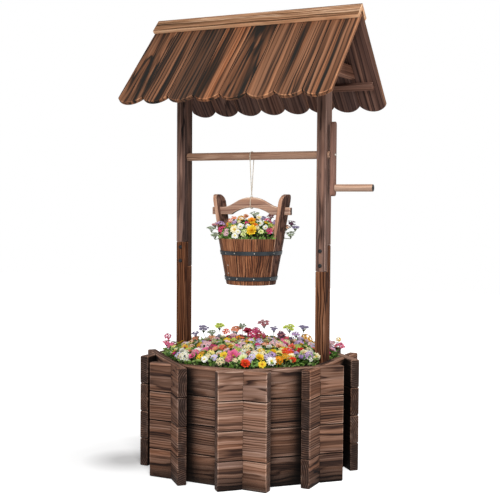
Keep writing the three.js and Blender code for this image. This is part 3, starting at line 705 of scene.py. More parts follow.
def stave(number, steps=6):
    """One stave of the bucket, as an arc of wood between two heights, counted from the right ear."""
    start = (number - 0.5) * 2 * pi / STAVE_COUNT
    angles = np.linspace(start + STAVE_SEAM, start + 2 * pi / STAVE_COUNT - STAVE_SEAM, steps + 1)
    outlines = []
    for outer in (BUCKET_BASE_RADIUS, BUCKET_RIM_RADIUS):
        inner = outer - STAVE_THICKNESS
        outline = [(outer * cos(a), outer * sin(a)) for a in angles]
        outlines.append(outline + [(inner * cos(a), inner * sin(a)) for a in angles[::-1]])
    work, low, high = walled(outlines, (BUCKET_BASE, BUCKET_RIM))
    for ring in (low[::-1], high):
        for i in range(steps):
            work.faces.new((ring[i], ring[i + 1], ring[-2 - i], ring[-1 - i]))
    bmesh.ops.recalc_face_normals(work, faces=work.faces)
    mesh = bevelled(work, arris=0.0009)
    middle = start + pi / STAVE_COUNT
    tone = STAVE_TONES[number % len(STAVE_TONES)]
    set_grain(mesh, Z, (-sin(middle), cos(middle), 0), stock.pith(1.0), tone)
    return mesh


def paint_side_light(mesh, facing, light, warm):
    """Paints light onto the faces of a board that look one way, lighter and warmer than the rest, and
    painted shade there where the change is negative.
    """
    tones = mesh.attributes["tone"].data
    for vertex in mesh.vertices:
        if vertex.normal @ Vector(facing) > SIDE_FACING:
            tones[vertex.index].vector += Vector((light, warm, 0))


def make_bucket():
    half = STAVE_COUNT // 2
    for name, first in (("rear", 1), ("front", half + 1)):
        for number in range(first, first + half - 1):
            piece = link(f"bucket_stave_{number}", stave(number))
            soften(piece)
            dress(piece, [bucket_wood, end_wood], f"bucket_{name}_staves")
    for node, (light, shade) in EAR_TONES_AND_SIDE_SHADE.items():
        ear = dressed(node, ear_wood, Z, Y, arris=0.0012, tone=(light, 0.5, 0.4),
                      end=ear_wood)
        # Painted shade on each ear's right side and painted light on its front
        paint_side_light(ear.data, X, shade, 0.0)
        paint_side_light(ear.data, (0, -1, 0), *EAR_FRONT_PAINTED_LIGHT)
    dressed("bucket_handle", grip_wood, X, Z, tone=(0.52, 0.5, 0.1))
    dressed("bucket_bottom", bucket_wood, Y, X, arris=0.0006)
    for node in ("lower_hoop", "upper_hoop"):
        piece = link(node + "_steel", rounded(node, arris=0.0003))
        soften(piece)
        dress(piece, [hoop_steel], node)


def strip_faces(rows, columns, closed=False, looped=False):
    """Quads between rows of points. closed joins each row's ends, and looped the last row to the first."""
    index = np.arange(rows * columns).reshape(rows, columns)
    if looped:
        index = np.vstack([index, index[:1]])
    if closed:
        index = np.hstack([index, index[:, :1]])
    corners = (index[:-1, :-1], index[:-1, 1:], index[1:, 1:], index[1:, :-1])
    return np.stack(corners, axis=-1).reshape(-1, 4)


# Nails and the crank's screw. A head's profile, in shares of its radius and its height
STUD_FOOT = -0.0006
STUD_PROFILE = [(1, 0.25), (0.86, 0.62), (0.55, 0.9), (0.3, 1), (0.22, 0.8), (0, 0.75)]
HOOP_HEIGHTS = [(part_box(node)[0][2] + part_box(node)[1][2]) / 2 for node in ("upper_hoop", "lower_hoop")]
HOOP_PROUD = 0.0012
NAIL_RADIUS = 0.0016
NAIL_HEIGHT = 0.0008
SCREW_RADIUS = 0.003
SCREW_HEIGHT = 0.0012
HOOP_NAILS = (-118, -96, -58, -18, 40, 100, 160, 220)
STAVE_NAILS = ((-121, 0.083), (-97, 0.083), (-118, 0.05), (-120, 0.03))


def turned(profile, sides=20):
    """A closed mesh turned round Z from pairs of radius and height, the first and last on the axis."""
    points = [(0, 0, profile[0][1])]
    for radius, height in profile[1:-1]:
        points += [(radius * cos(a), radius * sin(a), height) for a in circle(sides)]
    points.append((0, 0, profile[-1][1]))
    last = len(points) - 1
    near = last - sides
    faces = [(0, 1 + (i + 1) % sides, 1 + i) for i in range(sides)]
    faces += list(1 + strip_faces(len(profile) - 2, sides, closed=True))
    faces += [(near + i, near + (i + 1) % sides, last) for i in range(sides)]
    return mesh_from("turned", points, faces)


def stud(name, place, facing, radius, height, body):
    """A domed head on a face."""
    dome = [(radius * reach, height * rise) for reach, rise in STUD_PROFILE]
    mesh = turned([(0, STUD_FOOT), (radius, STUD_FOOT)] + dome)
    turn = Vector(facing).to_track_quat("Z", "Y").to_matrix().to_4x4()
    mesh.transform(Matrix.Translation(place) @ turn)
    mesh.shade_smooth()
    dress(link(name, mesh), [nail_steel], None, body)


def make_fixings():
    screw = (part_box("crank_arm")[1][0], 0, AXLE_HEIGHT)
    stud("arm_screw", screw, X, SCREW_RADIUS, SCREW_HEIGHT, body_of("crank_arm"))
    nails = [(angle, height, HOOP_PROUD) for angle in HOOP_NAILS for height in HOOP_HEIGHTS]
    nails += [(angle, BUCKET_BASE + height, 0.0) for angle, height in STAVE_NAILS]
    for i, (angle, height, proud) in enumerate(nails):
        out = Vector((cos(radians(angle)), sin(radians(angle)), 0))
        place = out * (bucket_radius(height - BUCKET_BASE) + proud) + Vector((0, 0, height))
        stud(f"bucket_nail_{i + 1}", place, out, NAIL_RADIUS, NAIL_HEIGHT, "bucket")


# The planter's floor, seen from below only
def make_floor():
    dressed("planter_floor", handle_wood, X, Y, arris=0.0008)


# Flowers, built petal by petal. Each mesh keeps its colours in the attribute "tint".
class Planting:
    """Gathers coloured quads into one mesh."""

    def __init__(self):
        self.points = []
        self.faces = []
        self.tints = []
        self.count = 0

    def add(self, points, faces, tints):
        points = np.reshape(points, (-1, 3))
        self.points.append(points)
        self.faces.append(faces + self.count)
        self.tints.append(np.broadcast_to(tints, points.shape))
        self.count += len(points)

    def placed(self, other, place, axis, size, spin):
        """Adds another planting, scaled, with its Z axis turned to axis."""
        axis = unit(axis)
        side = unit(axis.cross(Vector((sin(spin), cos(spin), 0.3))))
        turn = np.array([side, axis.cross(side), axis])
        for points, faces, tints in zip(other.points, other.faces, other.tints):
            self.add(points * size @ turn + np.array(place), faces - faces.min(), tints)

    def mesh(self, name):
        mesh = bpy.data.meshes.new(name)
        mesh.from_pydata(np.concatenate(self.points).tolist(), [], np.concatenate(self.faces).tolist())
        tints = np.concatenate(self.tints)
        layer(mesh, "tint", "FLOAT_COLOR", np.hstack([tints, np.ones((len(tints), 1))]))
        mesh.shade_smooth()
        return mesh


# A petal's rows of points: how far along it they lie, and how wide it is there
PETAL_REACH = np.array([0.0, 0.4, 0.75, 1.0])
PETAL_WIDTH = np.array([0.35, 0.85, 1.0, 0.45])
PETAL_ACROSS = np.array([-1.0, 0.0, 1.0])


def add_petals(planting, random, count, start, length, width, lift, cup, inner, outer):
    """A ring of petals round Z. Each leaves at lift[0] and ends at lift[1] above the level."""
    def each(values):
        return values[:, None, None]

    slope = lift[0] + (lift[1] - lift[0]) * PETAL_REACH
    steps = np.diff(PETAL_REACH, prepend=0)
    reach = start + length * np.cumsum(np.cos(slope) * steps)
    rise = length * np.cumsum(np.sin(slope) * steps)
    turn = 2 * pi * (np.arange(count) + random.uniform(-0.2, 0.2, count)) / count + random.uniform(0, 6)
    grow = each(random.uniform(0.88, 1.08, count))
    out = reach[None, :, None] * grow
    side = (PETAL_WIDTH * width / 2)[None, :, None] * PETAL_ACROSS * grow
    droop = each(random.uniform(-0.06, 0.06, count)) * out
    high = rise[None, :, None] * grow + cup * width * PETAL_ACROSS ** 2 + droop
    cosine = each(np.cos(turn))
    sine = each(np.sin(turn))
    points = np.stack([out * cosine - side * sine, out * sine + side * cosine, high], axis=-1)
    rows = len(PETAL_REACH)
    faces = (strip_faces(rows, 3) + rows * 3 * each(np.arange(count))).reshape(-1, 4)
    shade = each(random.uniform(0.82, 1.1, count))[..., None]
    share = PETAL_REACH[:, None, None] ** 0.7
    tints = (np.array(inner) * (1 - share) + np.array(outer) * share) * shade + np.zeros((count, rows, 3, 3))
    planting.add(points, faces, np.clip(tints, 0, 1).reshape(-1, 3))


BUTTON_PROFILE = np.array([(1, 0), (0.9, 0.5), (0.5, 0.9), (0.1, 1)])


def add_button(planting, radius, height, base, tint, sides=8):
    """A small dome in the middle of a flower."""
    reach, rise = BUTTON_PROFILE.T
    angles = circle(sides)
    points = np.stack([np.outer(reach, np.cos(angles)) * radius, np.outer(reach, np.sin(angles)) * radius,
                       base + np.outer(rise, np.ones(sides)) * height], axis=-1)
    shade = np.linspace(0.75, 1.1, 4)[:, None, None]
    tints = (np.array(tint) * shade).repeat(sides, 1).reshape(-1, 3)
    planting.add(points, strip_faces(4, sides, closed=True), tints)


# Single and double flowers. A ring of petals: how many, where they start, their length and width, the
# slopes at which they leave and end, their cup, and their share of the throat's colour. A button:
# its radius, height and base
RINGS = {
    "full": [
        (13, 0.06, 0.94, 0.36, (0.1, 0.35), 0.12, 0.0), (12, 0.05, 0.78, 0.33, (0.45, 0.7), 0.12, 0.125),
        (10, 0.04, 0.6, 0.28, (0.75, 1.0), 0.12, 0.25), (8, 0.03, 0.42, 0.22, (1.05, 1.3), 0.12, 0.375),
        (6, 0.02, 0.28, 0.16, (1.3, 1.55), 0.12, 0.5)],
    "open": [
        (13, 0.12, 0.88, 0.34, (0.18, 0.02), 0.1, 0.0), (12, 0.1, 0.72, 0.3, (0.4, 0.2), 0.1, 0.0)],
    "cupped": [
        (6, 0.08, 0.95, 0.75, (0.15, 0.75), 0.22, 0.0), (6, 0.08, 0.85, 0.7, (0.6, 1.2), 0.22, 0.12),
        (6, 0.08, 0.68, 0.6, (0.95, 1.55), 0.22, 0.24), (6, 0.08, 0.5, 0.45, (1.2, 1.8), 0.22, 0.36)],
}
BUTTONS = {"full": (0.14, 0.1, 0.18), "open": (0.26, 0.16, 0.08), "cupped": (0.16, 0.2, 0.2)}
GOLDEN_ANGLE = pi * (3 - sqrt(5))


def add_rings(made, random, kind, petal, throat, eye):
    for *shape, cup, share in RINGS[kind]:
        outer = np.array(petal) * (1 - share) + np.array(throat) * share
        add_petals(made, random, *shape, cup, throat, outer)
    add_button(made, *BUTTONS[kind], eye)


def add_cluster(made, random, petal, throat, eye, count=17):
    """A head of small florets, each of five petals, over a dome."""
    for i in range(count):
        angle = i * GOLDEN_ANGLE
        lean = sqrt((i + 0.5) / count) * 1.25
        axis = Vector((sin(lean) * cos(angle), sin(lean) * sin(angle), cos(lean)))
        floret = Planting()
        add_petals(floret, random, 5, 0.1, 0.9, 0.85, (0.15, 0.3), 0.06, throat, petal)
        add_button(floret, 0.22, 0.18, 0.1, eye, 5)
        place = (axis.x * 0.78, axis.y * 0.78, axis.z * 0.75 - 0.15)
        made.placed(floret, place, axis, random.uniform(0.22, 0.3), random.uniform(0, 6))


def add_spray(made, random, petal, throat, eye, count=8):
    """A flat head of florets on their own thin stalks, which leave one point."""
    for i in range(count):
        angle = i * 2.4 + random.uniform(-0.3, 0.3)
        reach = 0.75 * sqrt((i + 0.3) / count)
        tip = Vector((reach * cos(angle), reach * sin(angle), random.uniform(0.0, 0.3)))
        add_stalk(made, [(0, 0, -0.9), tip * 0.6 - Vector((0, 0, 0.3)), tip], 0.045)
        floret = Planting()
        add_petals(floret, random, 6, 0.08, 0.92, 0.8, (0.5, 0.2), 0.1, throat, petal)
        add_button(floret, 0.25, 0.2, 0.1, eye, 5)
        made.placed(floret, tip, tip * 0.5 + Vector(Z), random.uniform(0.3, 0.42), random.uniform(0, 6))


def blossom(random, kind, tint):
    made = Planting()
    colours = [colour(code) for code in TINTS[tint]]
    if kind == "cluster":
        add_cluster(made, random, *colours)
    elif kind == "spray":
        add_spray(made, random, *colours)
    else:
        add_rings(made, random, kind, *colours)
    return made


def table(text):
    """Rows of words and numbers from a text with commas between the rows."""
    rows = [row.split() for row in text.split(",")]
    return [[cell if cell[0].isalpha() else float(cell) for cell in row] for row in rows]


# Each colour's petal, throat and eye
TINTS = {name: codes for name, *codes in [row.split() for row in """
rosered c9415c 9c2440 e08a95, white f7f6f0 e9ecd2 e8cf55, cream f8efcb efdc93 d9b23f,
palepink f6d3dc e9a9bd e5c45a, pink f07fa8 d94f86 e6b545, hotpink e23f86 b81f5f e0b040,
magenta b9307f 871a5e d9a43b, red dd2c33 a5151f e6b540, redorange ee4b23 c22c12 e9a32c,
coral f27a62 d8503f e9b54a, salmon f2a184 dd7a5e e6bd62, peach f8cba6 f0a77e d98f4f,
orange f68a1e dd5f10 f2c230, amber f7a81b e9820f b85f10, yellow fbdc3a f2b31c c77f12,
paleyellow faf0a0 efd95f c9a02c, gold edb52f d0881c 8f5a14, limecream eef0b4 cbd977 a8b842,
lime d3dd6e a9bd45 7f9430, lilac cfb0e0 a679c4 e7cf6a, lavender e3d8f2 bda6de efe09a,
plum 7a5068 4f3348 3a2436, greygreen a9b39a 7d8c6c 6a7a58, greyviolet 9d94ae 6f6585 57506b,
dustyrose cf8f92 a8606a 8f5058""".split(",")]}
STALK_TINT = colour("76854f")
LEAF_TINTS = [colour(code) for code in "3d5f28 527a33 6b963f 86ad50 9dbd68 b6cb86".split()]
FILL_TINTS = """white cream palepink pink lavender lilac limecream lime paleyellow
yellow peach salmon coral gold hotpink white palepink cream""".split()
FILL_KINDS = "cluster cluster cluster open open full cupped".split()

# Flowers that the photograph shows: pixel across and down, kind, colour, and width in pixels
PLANTER_FLOWERS = table("""
173.3 345.3 cluster dustyrose 9, 179.7 344.5 cluster pink 7, 188.2 339 cluster lime 10,
185.1 348.3 open gold 8, 191.2 343.7 cluster peach 8, 195 340 cluster salmon 8,
252.5 335 cluster hotpink 14, 260.1 337.5 cluster rosered 15, 238.7 340 full amber 9,
233.3 340.5 cluster magenta 10, 211.9 339 full peach 9, 206.5 347.6 cluster palepink 15,
222.6 349.1 cluster coral 10, 195.8 353.7 cluster pink 10, 200.4 358.3 cluster yellow 9,
184.3 357.5 cluster white 13, 204.2 359.8 open white 7, 211.1 354.4 cluster paleyellow 10,
214.2 358.3 open lavender 7, 220.3 362.4 cluster cream 10, 223.7 356 open yellow 8,
232.9 356.7 full pink 14, 247.9 350.6 cluster cream 15, 244.8 364.5 full redorange 10,
258.6 349.1 cluster lilac 9, 274.7 346 cluster palepink 15, 262.4 356.7 cluster cream 12,
286.9 354.4 cluster redorange 15, 278.5 361 cluster amber 11, 271.6 362 open white 10,
262.4 365.3 open yellow 8, 299.1 345.3 cluster lilac 13, 300.7 352 full red 9,
306 341 cluster gold 17, 315.2 348.3 cluster lavender 12, 308.3 357 cluster lilac 12,
322.9 354.4 cluster white 10, 330.5 345 cluster palepink 8, 281.5 336 full plum 9,
284.6 340.5 full coral 10, 237.1 347.6 open pink 7, 250.9 342 open lavender 7,
268.5 340 open gold 7, 227 344 open palepink 8, 292 348 full coral 9,
252 357.5 open lavender 7, 316 357 open cream 8, 292.5 360.5 full redorange 7""")
# Flowers on stalks, which stand above the others against the white
PLANTER_STALKS = table("""
167.8 336.8 cluster hotpink 8, 166.4 343 spray pink 8, 195.8 334.1 spray greyviolet 7,
203.5 328.4 spray greyviolet 10, 219.5 326.1 spray lime 10, 226 331.9 cluster coral 8,
236.7 329.5 spray salmon 10, 242.5 326.1 spray greygreen 7, 264.2 323.4 spray dustyrose 11,
273.9 329.5 spray greyviolet 8, 289.7 328 spray lime 11, 303.7 328 spray greyviolet 9,
338.5 339.9 cluster yellow 6, 339.7 346 spray pink 10, 331 343 spray palepink 8,
281 334.5 spray dustyrose 8, 212 333 spray greygreen 8, 296 334.5 spray lilac 8,
247.5 331.5 full rosered 9, 256 331 cluster hotpink 9, 234 335 spray palepink 8""")
BUCKET_FLOWERS = table("""
251.7 231.3 full yellow 12, 251.7 222 full amber 9, 255.5 226.8 full orange 7,
241.2 220 cluster gold 10, 229.1 225 cluster gold 7, 222.2 230.8 cluster hotpink 11,
234.5 230.4 open cream 10, 234.9 236.3 open white 7.5, 240.6 227 open white 7,
234.5 223.7 cluster lilac 7, 230.6 221.5 cluster salmon 7, 267 222.7 cluster hotpink 11,
269.5 231.7 cluster hotpink 8, 275.2 231.3 cupped peach 8.5, 260.3 224 open white 7,
243 235.5 open limecream 6, 261 232.5 open limecream 6, 246 217.5 cupped peach 6,
259 218.5 open cream 6, 275 225 open palepink 6, 226.5 234.5 cluster palepink 7,
248 227 open white 6, 257 228.5 cluster cream 6, 265.5 228 open white 6,
245 232 cluster limecream 6, 271 226.5 cluster lime 6, 238 232.5 open white 6""")
BUCKET_STALKS = table("""
255 214.8 spray greygreen 8, 262.5 218.5 spray greyviolet 7, 270.5 217 spray dustyrose 7,
286.1 227.5 spray peach 7, 295.2 227.5 spray greyviolet 8, 291.3 223.5 spray plum 7,
290.9 234.8 spray greygreen 8, 211.5 228.5 spray greygreen 8, 215.3 225 spray dustyrose 7,
221 224 spray lilac 7, 214.8 235.5 spray greygreen 8, 275.5 222.5 cluster lilac 6,
234 218.5 spray salmon 6""")


def tube(line, side, up, radius, sides):
    """Rows of points round a line, each in the plane of its side and up directions."""
    cosine = np.cos(circle(sides))[None, :, None]
    sine = np.sin(circle(sides))[None, :, None]
    ring = cosine * np.array(side)[:, None] + sine * np.array(up)[:, None]
    return np.array(line)[:, None] + radius * ring


def add_stalk(planting, path, radius, sides=4):
    """A thin tube through a few points."""
    path = [Vector(point) for point in path]
    ahead = [unit(b - a) for a, b in zip(path[:1] + path[:-1], path[1:] + path[-1:])]
    side = [unit(along.cross(Vector((0.31, 0.95, 0.05)))) for along in ahead]
    up = [along.cross(across) for along, across in zip(ahead, side)]
    faces = strip_faces(len(path), sides, closed=True)
    planting.add(tube(path, side, up, radius, sides), faces, STALK_TINT)


# A leaf's rows of points: how far along it they lie, how wide it is there, and how light
LEAF_REACH = (0.0, 0.3, 0.65, 1.0)
LEAF_WIDTH = (0.15, 1.0, 0.75, 0.04)
LEAF_SHADE = np.array([0.75, 1.0, 1.05, 1.1])[:, None, None]
LEAF_ARCH = 0.35


def add_leaf(planting, random, root, axis, length, width, tint):
    """A pointed leaf, folded along its middle, that arches over."""
    axis = unit(axis)
    side = unit(axis.cross(Vector((random.normal(), random.normal(), 0.4))))
    up = side.cross(axis)
    rows = []
    for share, wide in zip(LEAF_REACH, LEAF_WIDTH):
        reach = wide * width / 2
        middle = root + axis * length * share - Vector(Z) * length * LEAF_ARCH * share ** 2
        fold = up * reach * 0.5
        rows.append([middle - side * reach + fold, middle, middle + side * reach + fold])
    tints = (np.array(tint) * LEAF_SHADE * np.ones((4, 3, 3))).reshape(-1, 3)
    planting.add(np.array(rows), strip_faces(4, 3), tints)


def eight_sided(angle):
    """How much further out an octagon's side lies at an angle than at its middle."""
    return 1 / cos((angle + pi / SIDE_COUNT) % (2 * pi / SIDE_COUNT) - pi / SIDE_COUNT)


def round_shape(angle):
    return 1.0


FLOWER_PROUD = 0.003
STALK_HEAD = 1.25
STALK_RADIUS = 0.0009
FOOT_SHARE = 0.82  # of the flower's distance from the bed's middle
FOOT_REACH = 0.8  # of the bed's radius, at most
BEND_RISE = 0.01
FACING_RISE = 0.75
FACING_SPREAD = 0.15
OUTWARD_SPREAD = 0.18
SIGHT_STEPS = 400
FILL_TRIES = 6000


class Bed:
    """A dome of flowers: its reach, its outline's shape, its edge's height, its rise and its soil's."""

    def __init__(self, radius, shape, edge, rise, soil, seed, keep_off):
        self.radius = radius
        self.shape = shape
        self.edge = edge
        self.rise = rise
        self.soil = soil
        self.random = np.random.default_rng(seed)
        self.keep_off = keep_off
        self.flowers = {"front": Planting(), "rear": Planting()}
        self.leaves = Planting()
        self.taken = []

    def scatter(self, spread):
        return Vector((self.random.normal() * spread, self.random.normal() * spread, 0))

    def height(self, x, y):
        reach = self.radius * self.shape(atan2(y, x))
        return self.edge + self.rise * sqrt(max(0.0, 1 - (x * x + y * y) / reach ** 2))

    def anywhere(self, margin):
        """A random place of the bed, some way in from its edge."""
        angle = self.random.uniform(0, 2 * pi)
        reach = (self.radius * self.shape(angle) - margin) * sqrt(self.random.uniform())
        return reach * cos(angle), reach * sin(angle)

    def seen(self, pixel):
        """Where the sight line through a pixel first meets the dome."""
        place, ray = sight_line(pixel)
        middle = Vector((place.x, place.y)).length
        reach = self.radius * 1.1
        for step in np.linspace(middle - reach, middle + reach, SIGHT_STEPS):
            point = place + ray * float(step)
            inside = point.xy.length < self.radius * self.shape(atan2(point.y, point.x))
            if inside and point.z < self.height(point.x, point.y):
                return point
        return None

    def flower(self, point, axis, kind, tint, radius):
        """A flower at a point, with a stalk up from the soil that bends over inside the rim."""
        made = blossom(self.random, kind, tint)
        side = "front" if point.y < 0 else "rear"
        self.flowers[side].placed(made, point, axis, radius, self.random.uniform(0, 6))
        out = Vector((point.x, point.y, 0))
        out *= min(FOOT_SHARE, FOOT_REACH * self.radius / max(out.length, 0.001))
        foot = out + Vector((0, 0, self.soil))
        over = out * 1.1 + Vector((0, 0, max(self.edge, min(point.z - radius, self.edge + BEND_RISE))))
        bend = point - unit(axis) * radius * 0.9
        add_stalk(self.leaves, [foot, over, bend, point], STALK_RADIUS)
        self.taken.append((point.x, point.y))

    def outward(self, point, lean):
        return Vector((point.x, point.y, 0)) / self.radius * lean + self.scatter(OUTWARD_SPREAD) + Vector(Z)

    def plant_seen(self, flowers, stalks, depth):
        towards = Vector((sin(AZIMUTH), -cos(AZIMUTH), 0))
        for x, y, kind, tint, width in flowers:
            point = self.seen((x, y)) or at_depth((x, y), depth)
            axis = towards + self.scatter(FACING_SPREAD) + Vector((0, 0, FACING_RISE))
            point += FLOWER_PROUD * unit(axis)
            self.flower(point, axis, kind, tint, width * METRES_PER_PIXEL / 2)
        for x, y, kind, tint, width in stalks:
            radius = STALK_HEAD * width * METRES_PER_PIXEL / 2
            self.flower(at_depth((x, y), depth), towards * 0.5 + Vector(Z), kind, tint, radius)

    def plant_rest(self, spacing, radii):
        """Fills the free places of the dome with flowers of random kinds and colours."""
        for _ in range(FILL_TRIES):
            x, y = self.anywhere(radii[0])
            if self.keep_off(x, y) or any((x - a) ** 2 + (y - b) ** 2 < spacing ** 2 for a, b in self.taken):
                continue
            point = Vector((x, y, self.height(x, y) + self.random.uniform(-0.002, 0.005)))
            kind = FILL_KINDS[self.random.integers(len(FILL_KINDS))]
            tint = FILL_TINTS[self.random.integers(len(FILL_TINTS))]
            self.flower(point, self.outward(point, 0.8), kind, tint, self.random.uniform(*radii))

    def grow_leaves(self, count, length, depth):
        """Leaves all over the dome, with their roots up to a depth below it."""
        for _ in range(count):
            x, y = self.anywhere(length[0] * 0.4)
            if self.keep_off(x, y):
                continue
            root = Vector((x, y, self.height(x, y) - self.random.uniform(0.0, depth)))
            axis = self.outward(root, 0.9) + self.scatter(0.6)
            size = self.random.uniform(*length)
            tint = LEAF_TINTS[self.random.integers(len(LEAF_TINTS))]
            width = size * self.random.uniform(0.28, 0.45)
            add_leaf(self.leaves, self.random, root, axis, size, width, tint)

    def grow_fringe(self, count, length):
        """Leaves along the rim, which hide the soil there."""
        for i in range(count):
            angle = 2 * pi * (i + self.random.uniform()) / count
            reach = self.radius * self.shape(angle) * self.random.uniform(0.84, 0.98)
            high = self.edge - self.random.uniform(0.004, 0.014)
            root = Vector((reach * cos(angle), reach * sin(angle), high))
            if self.keep_off(root.x, root.y):
                continue
            size = self.random.uniform(*length)
            tint = LEAF_TINTS[self.random.integers(2, len(LEAF_TINTS))]
            add_leaf(self.leaves, self.random, root, self.outward(root, 0.35), size, size * 0.4, tint)

    def finish(self, name):
        parts = [(f"{side}_blossoms", self.flowers[side], petals) for side in ("front", "rear")]
        parts.append(("leaves", self.leaves, greens))
        for part, planting, material in parts:
            piece = link(f"{name}_{part}", planting.mesh(f"{name}_{part}"))
            dress(piece, [material], f"{name}_flowers")


SOIL_RINGS = 22
SOIL_CORE = 0.01


def soil_mesh(name, radius, shape, columns, foot, top, rise, lump, seed, keep_off):
    """A lumpy bed of soil with an outline's shape, closed below."""
    random = np.random.default_rng(seed)
    points = []
    for ring in range(SOIL_RINGS + 1):
        share = max(ring / SOIL_RINGS, SOIL_CORE)
        for angle in circle(columns):
            reach = radius * share * shape(angle)
            x = reach * cos(angle)
            y = reach * sin(angle)
            if keep_off(x, y):
                y = SOIL_OFF_POST if y > 0 else -SOIL_OFF_POST
            high = top + rise * (1 - share ** 4) + lump * random.uniform(-1, 1) * (ring < SOIL_RINGS)
            points.append((x, y, high))
    low = [(x, y, foot) for x, y, _ in points[-columns:]]
    centre = [(x * SOIL_CORE, y * SOIL_CORE, foot) for x, y, _ in low]
    points += low + centre
    faces = list(strip_faces(SOIL_RINGS + 3, columns, closed=True))
    faces.append(range(columns)[::-1])
    faces.append(range((SOIL_RINGS + 2) * columns, (SOIL_RINGS + 3) * columns))
    mesh = mesh_from(name, points, faces)
    mesh.shade_smooth()
    return mesh


POST_ROOM = 0.008
SOIL_OFF_POST = POST_HALF_DEPTH + 0.002
PLANTER_SOIL_FOOT = 0.0553
PLANTER_SOIL_DROP = 0.03
BUCKET_SOIL_RADIUS = 0.07


def near_post(x, y):
    return abs(x) > POST_INSIDE - POST_ROOM and abs(y) < POST_HALF_DEPTH + POST_ROOM


def nowhere(x, y):
    return False


def make_flowers():
    soil = RIM - PLANTER_SOIL_DROP
    bed = Bed(WALL_INSIDE - 0.001, eight_sided, edge=RIM + 0.003, rise=0.024, soil=soil, seed=21,
              keep_off=near_post)
    bed.plant_seen(PLANTER_FLOWERS, PLANTER_STALKS, 0.11)
    bed.plant_rest(spacing=0.0185, radii=(0.008, 0.014))
    bed.grow_leaves(count=4200, length=(0.011, 0.021), depth=0.018)
    bed.grow_fringe(count=260, length=(0.014, 0.022))
    bed.finish("planter")
    mesh = soil_mesh("planter_earth", WALL_INSIDE - SEAT_GAP, eight_sided, columns=96,
                     foot=PLANTER_SOIL_FOOT, top=soil, rise=0.015, lump=0.003, seed=5, keep_off=near_post)
    dress(link("planter_earth", mesh), [compost], "planter_soil")

    bed = Bed(0.079, round_shape, edge=BUCKET_RIM + 0.001, rise=0.044, soil=BUCKET_RIM - 0.02, seed=22,
              keep_off=nowhere)
    bed.plant_seen(BUCKET_FLOWERS, BUCKET_STALKS, 0.0)
    bed.plant_rest(spacing=0.0135, radii=(0.006, 0.009))
    bed.grow_leaves(count=1600, length=(0.008, 0.016), depth=0.014)
    bed.grow_fringe(count=300, length=(0.014, 0.024))
    bed.finish("bucket")
    mesh = soil_mesh("bucket_earth", BUCKET_SOIL_RADIUS, round_shape, columns=48, foot=BUCKET_RIM - 0.03,
                     top=BUCKET_RIM - 0.008, rise=0.03, lump=0.002, seed=6, keep_off=nowhere)
    dress(link("bucket_earth", mesh), [compost], "bucket_flowers")


# Rope: two plies twisted round each other
ROPE_TWIST = 0.007
ROPE_STEP = 0.0006
KNOT_PLACE = (0, 0, AXLE_HEIGHT - ROPE_DROP)
KNOT_REACH = 0.0017
KNOT_CORD_RADIUS = 0.0009
PLY_SIDES = 8


def even(points, step):
    """The same line with points about a step apart."""
    points = np.array(points)
    runs = np.linalg.norm(np.diff(points, axis=0), axis=1)
    places = np.concatenate([[0], np.cumsum(runs)])
    wanted = np.linspace(0, places[-1], ceil(places[-1] / step) + 1)
    return np.stack([np.interp(wanted, places, points[:, i]) for i in range(3)], axis=1)


def loop_line(steps=24):
    """From the knot up one side of the axle, over it and down the other side."""
    radius = AXLE_RADIUS + SEAT_GAP + ROPE_RADIUS
    dip = asin(radius / ROPE_DROP)
    angles = [-dip + (pi + 2 * dip) * i / steps for i in range(steps + 1)]
    over = [(0, radius * cos(a), AXLE_HEIGHT + radius * sin(a)) for a in angles]
    return [KNOT_PLACE] + over + [KNOT_PLACE]


def tie_line(steps=6):
    """Once round the bucket's handle."""
    bend = TIE_BEND + ROPE_RADIUS
    y = TIE_HALF_DEPTH + SEAT_GAP + ROPE_RADIUS - bend
    z = TIE_HALF_HEIGHT + SEAT_GAP + ROPE_RADIUS - bend
    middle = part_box("bucket_handle")[1][2] - TIE_HALF_HEIGHT
    points = []
    for corner, (side, rise) in enumerate(((1, 1), (-1, 1), (-1, -1), (1, -1))):
        for i in range(steps + 1):
            angle = (corner + i / steps) * pi / 2
            points.append((0, side * y + bend * cos(angle), middle + rise * z + bend * sin(angle)))
    return points + points[:1]


def twisted(name, line):
    """A mesh of two plies twisted round a line in the plane X = 0, and that line's points."""
    line = even(line, ROPE_STEP)
    along = np.gradient(line, axis=0)
    along /= np.linalg.norm(along, axis=1)[:, None]
    across = np.tile(np.array(X, dtype=float), (len(line), 1))
    level = np.cross(along, across)
    turns = round(ROPE_STEP * (len(line) - 1) / ROPE_TWIST)
    ply = ROPE_RADIUS / 2
    points = []
    faces = []
    for start in (0, pi):
        angle = (2 * pi * turns * np.linspace(0, 1, len(line)) + start)[:, None]
        centre = line + ply * (np.cos(angle) * level + np.sin(angle) * across)
        first = len(points)
        last = first + (len(line) - 1) * PLY_SIDES
        points += list(tube(centre, level, across, ply, PLY_SIDES).reshape(-1, 3))
        faces += list(first + strip_faces(len(line), PLY_SIDES, closed=True))
        faces += [range(first, first + PLY_SIDES)[::-1], range(last, last + PLY_SIDES)]
    mesh = mesh_from(name, points, faces)
    mesh.shade_smooth()
    return mesh, [tuple(point) for point in line[::4]] + [tuple(line[-1])]


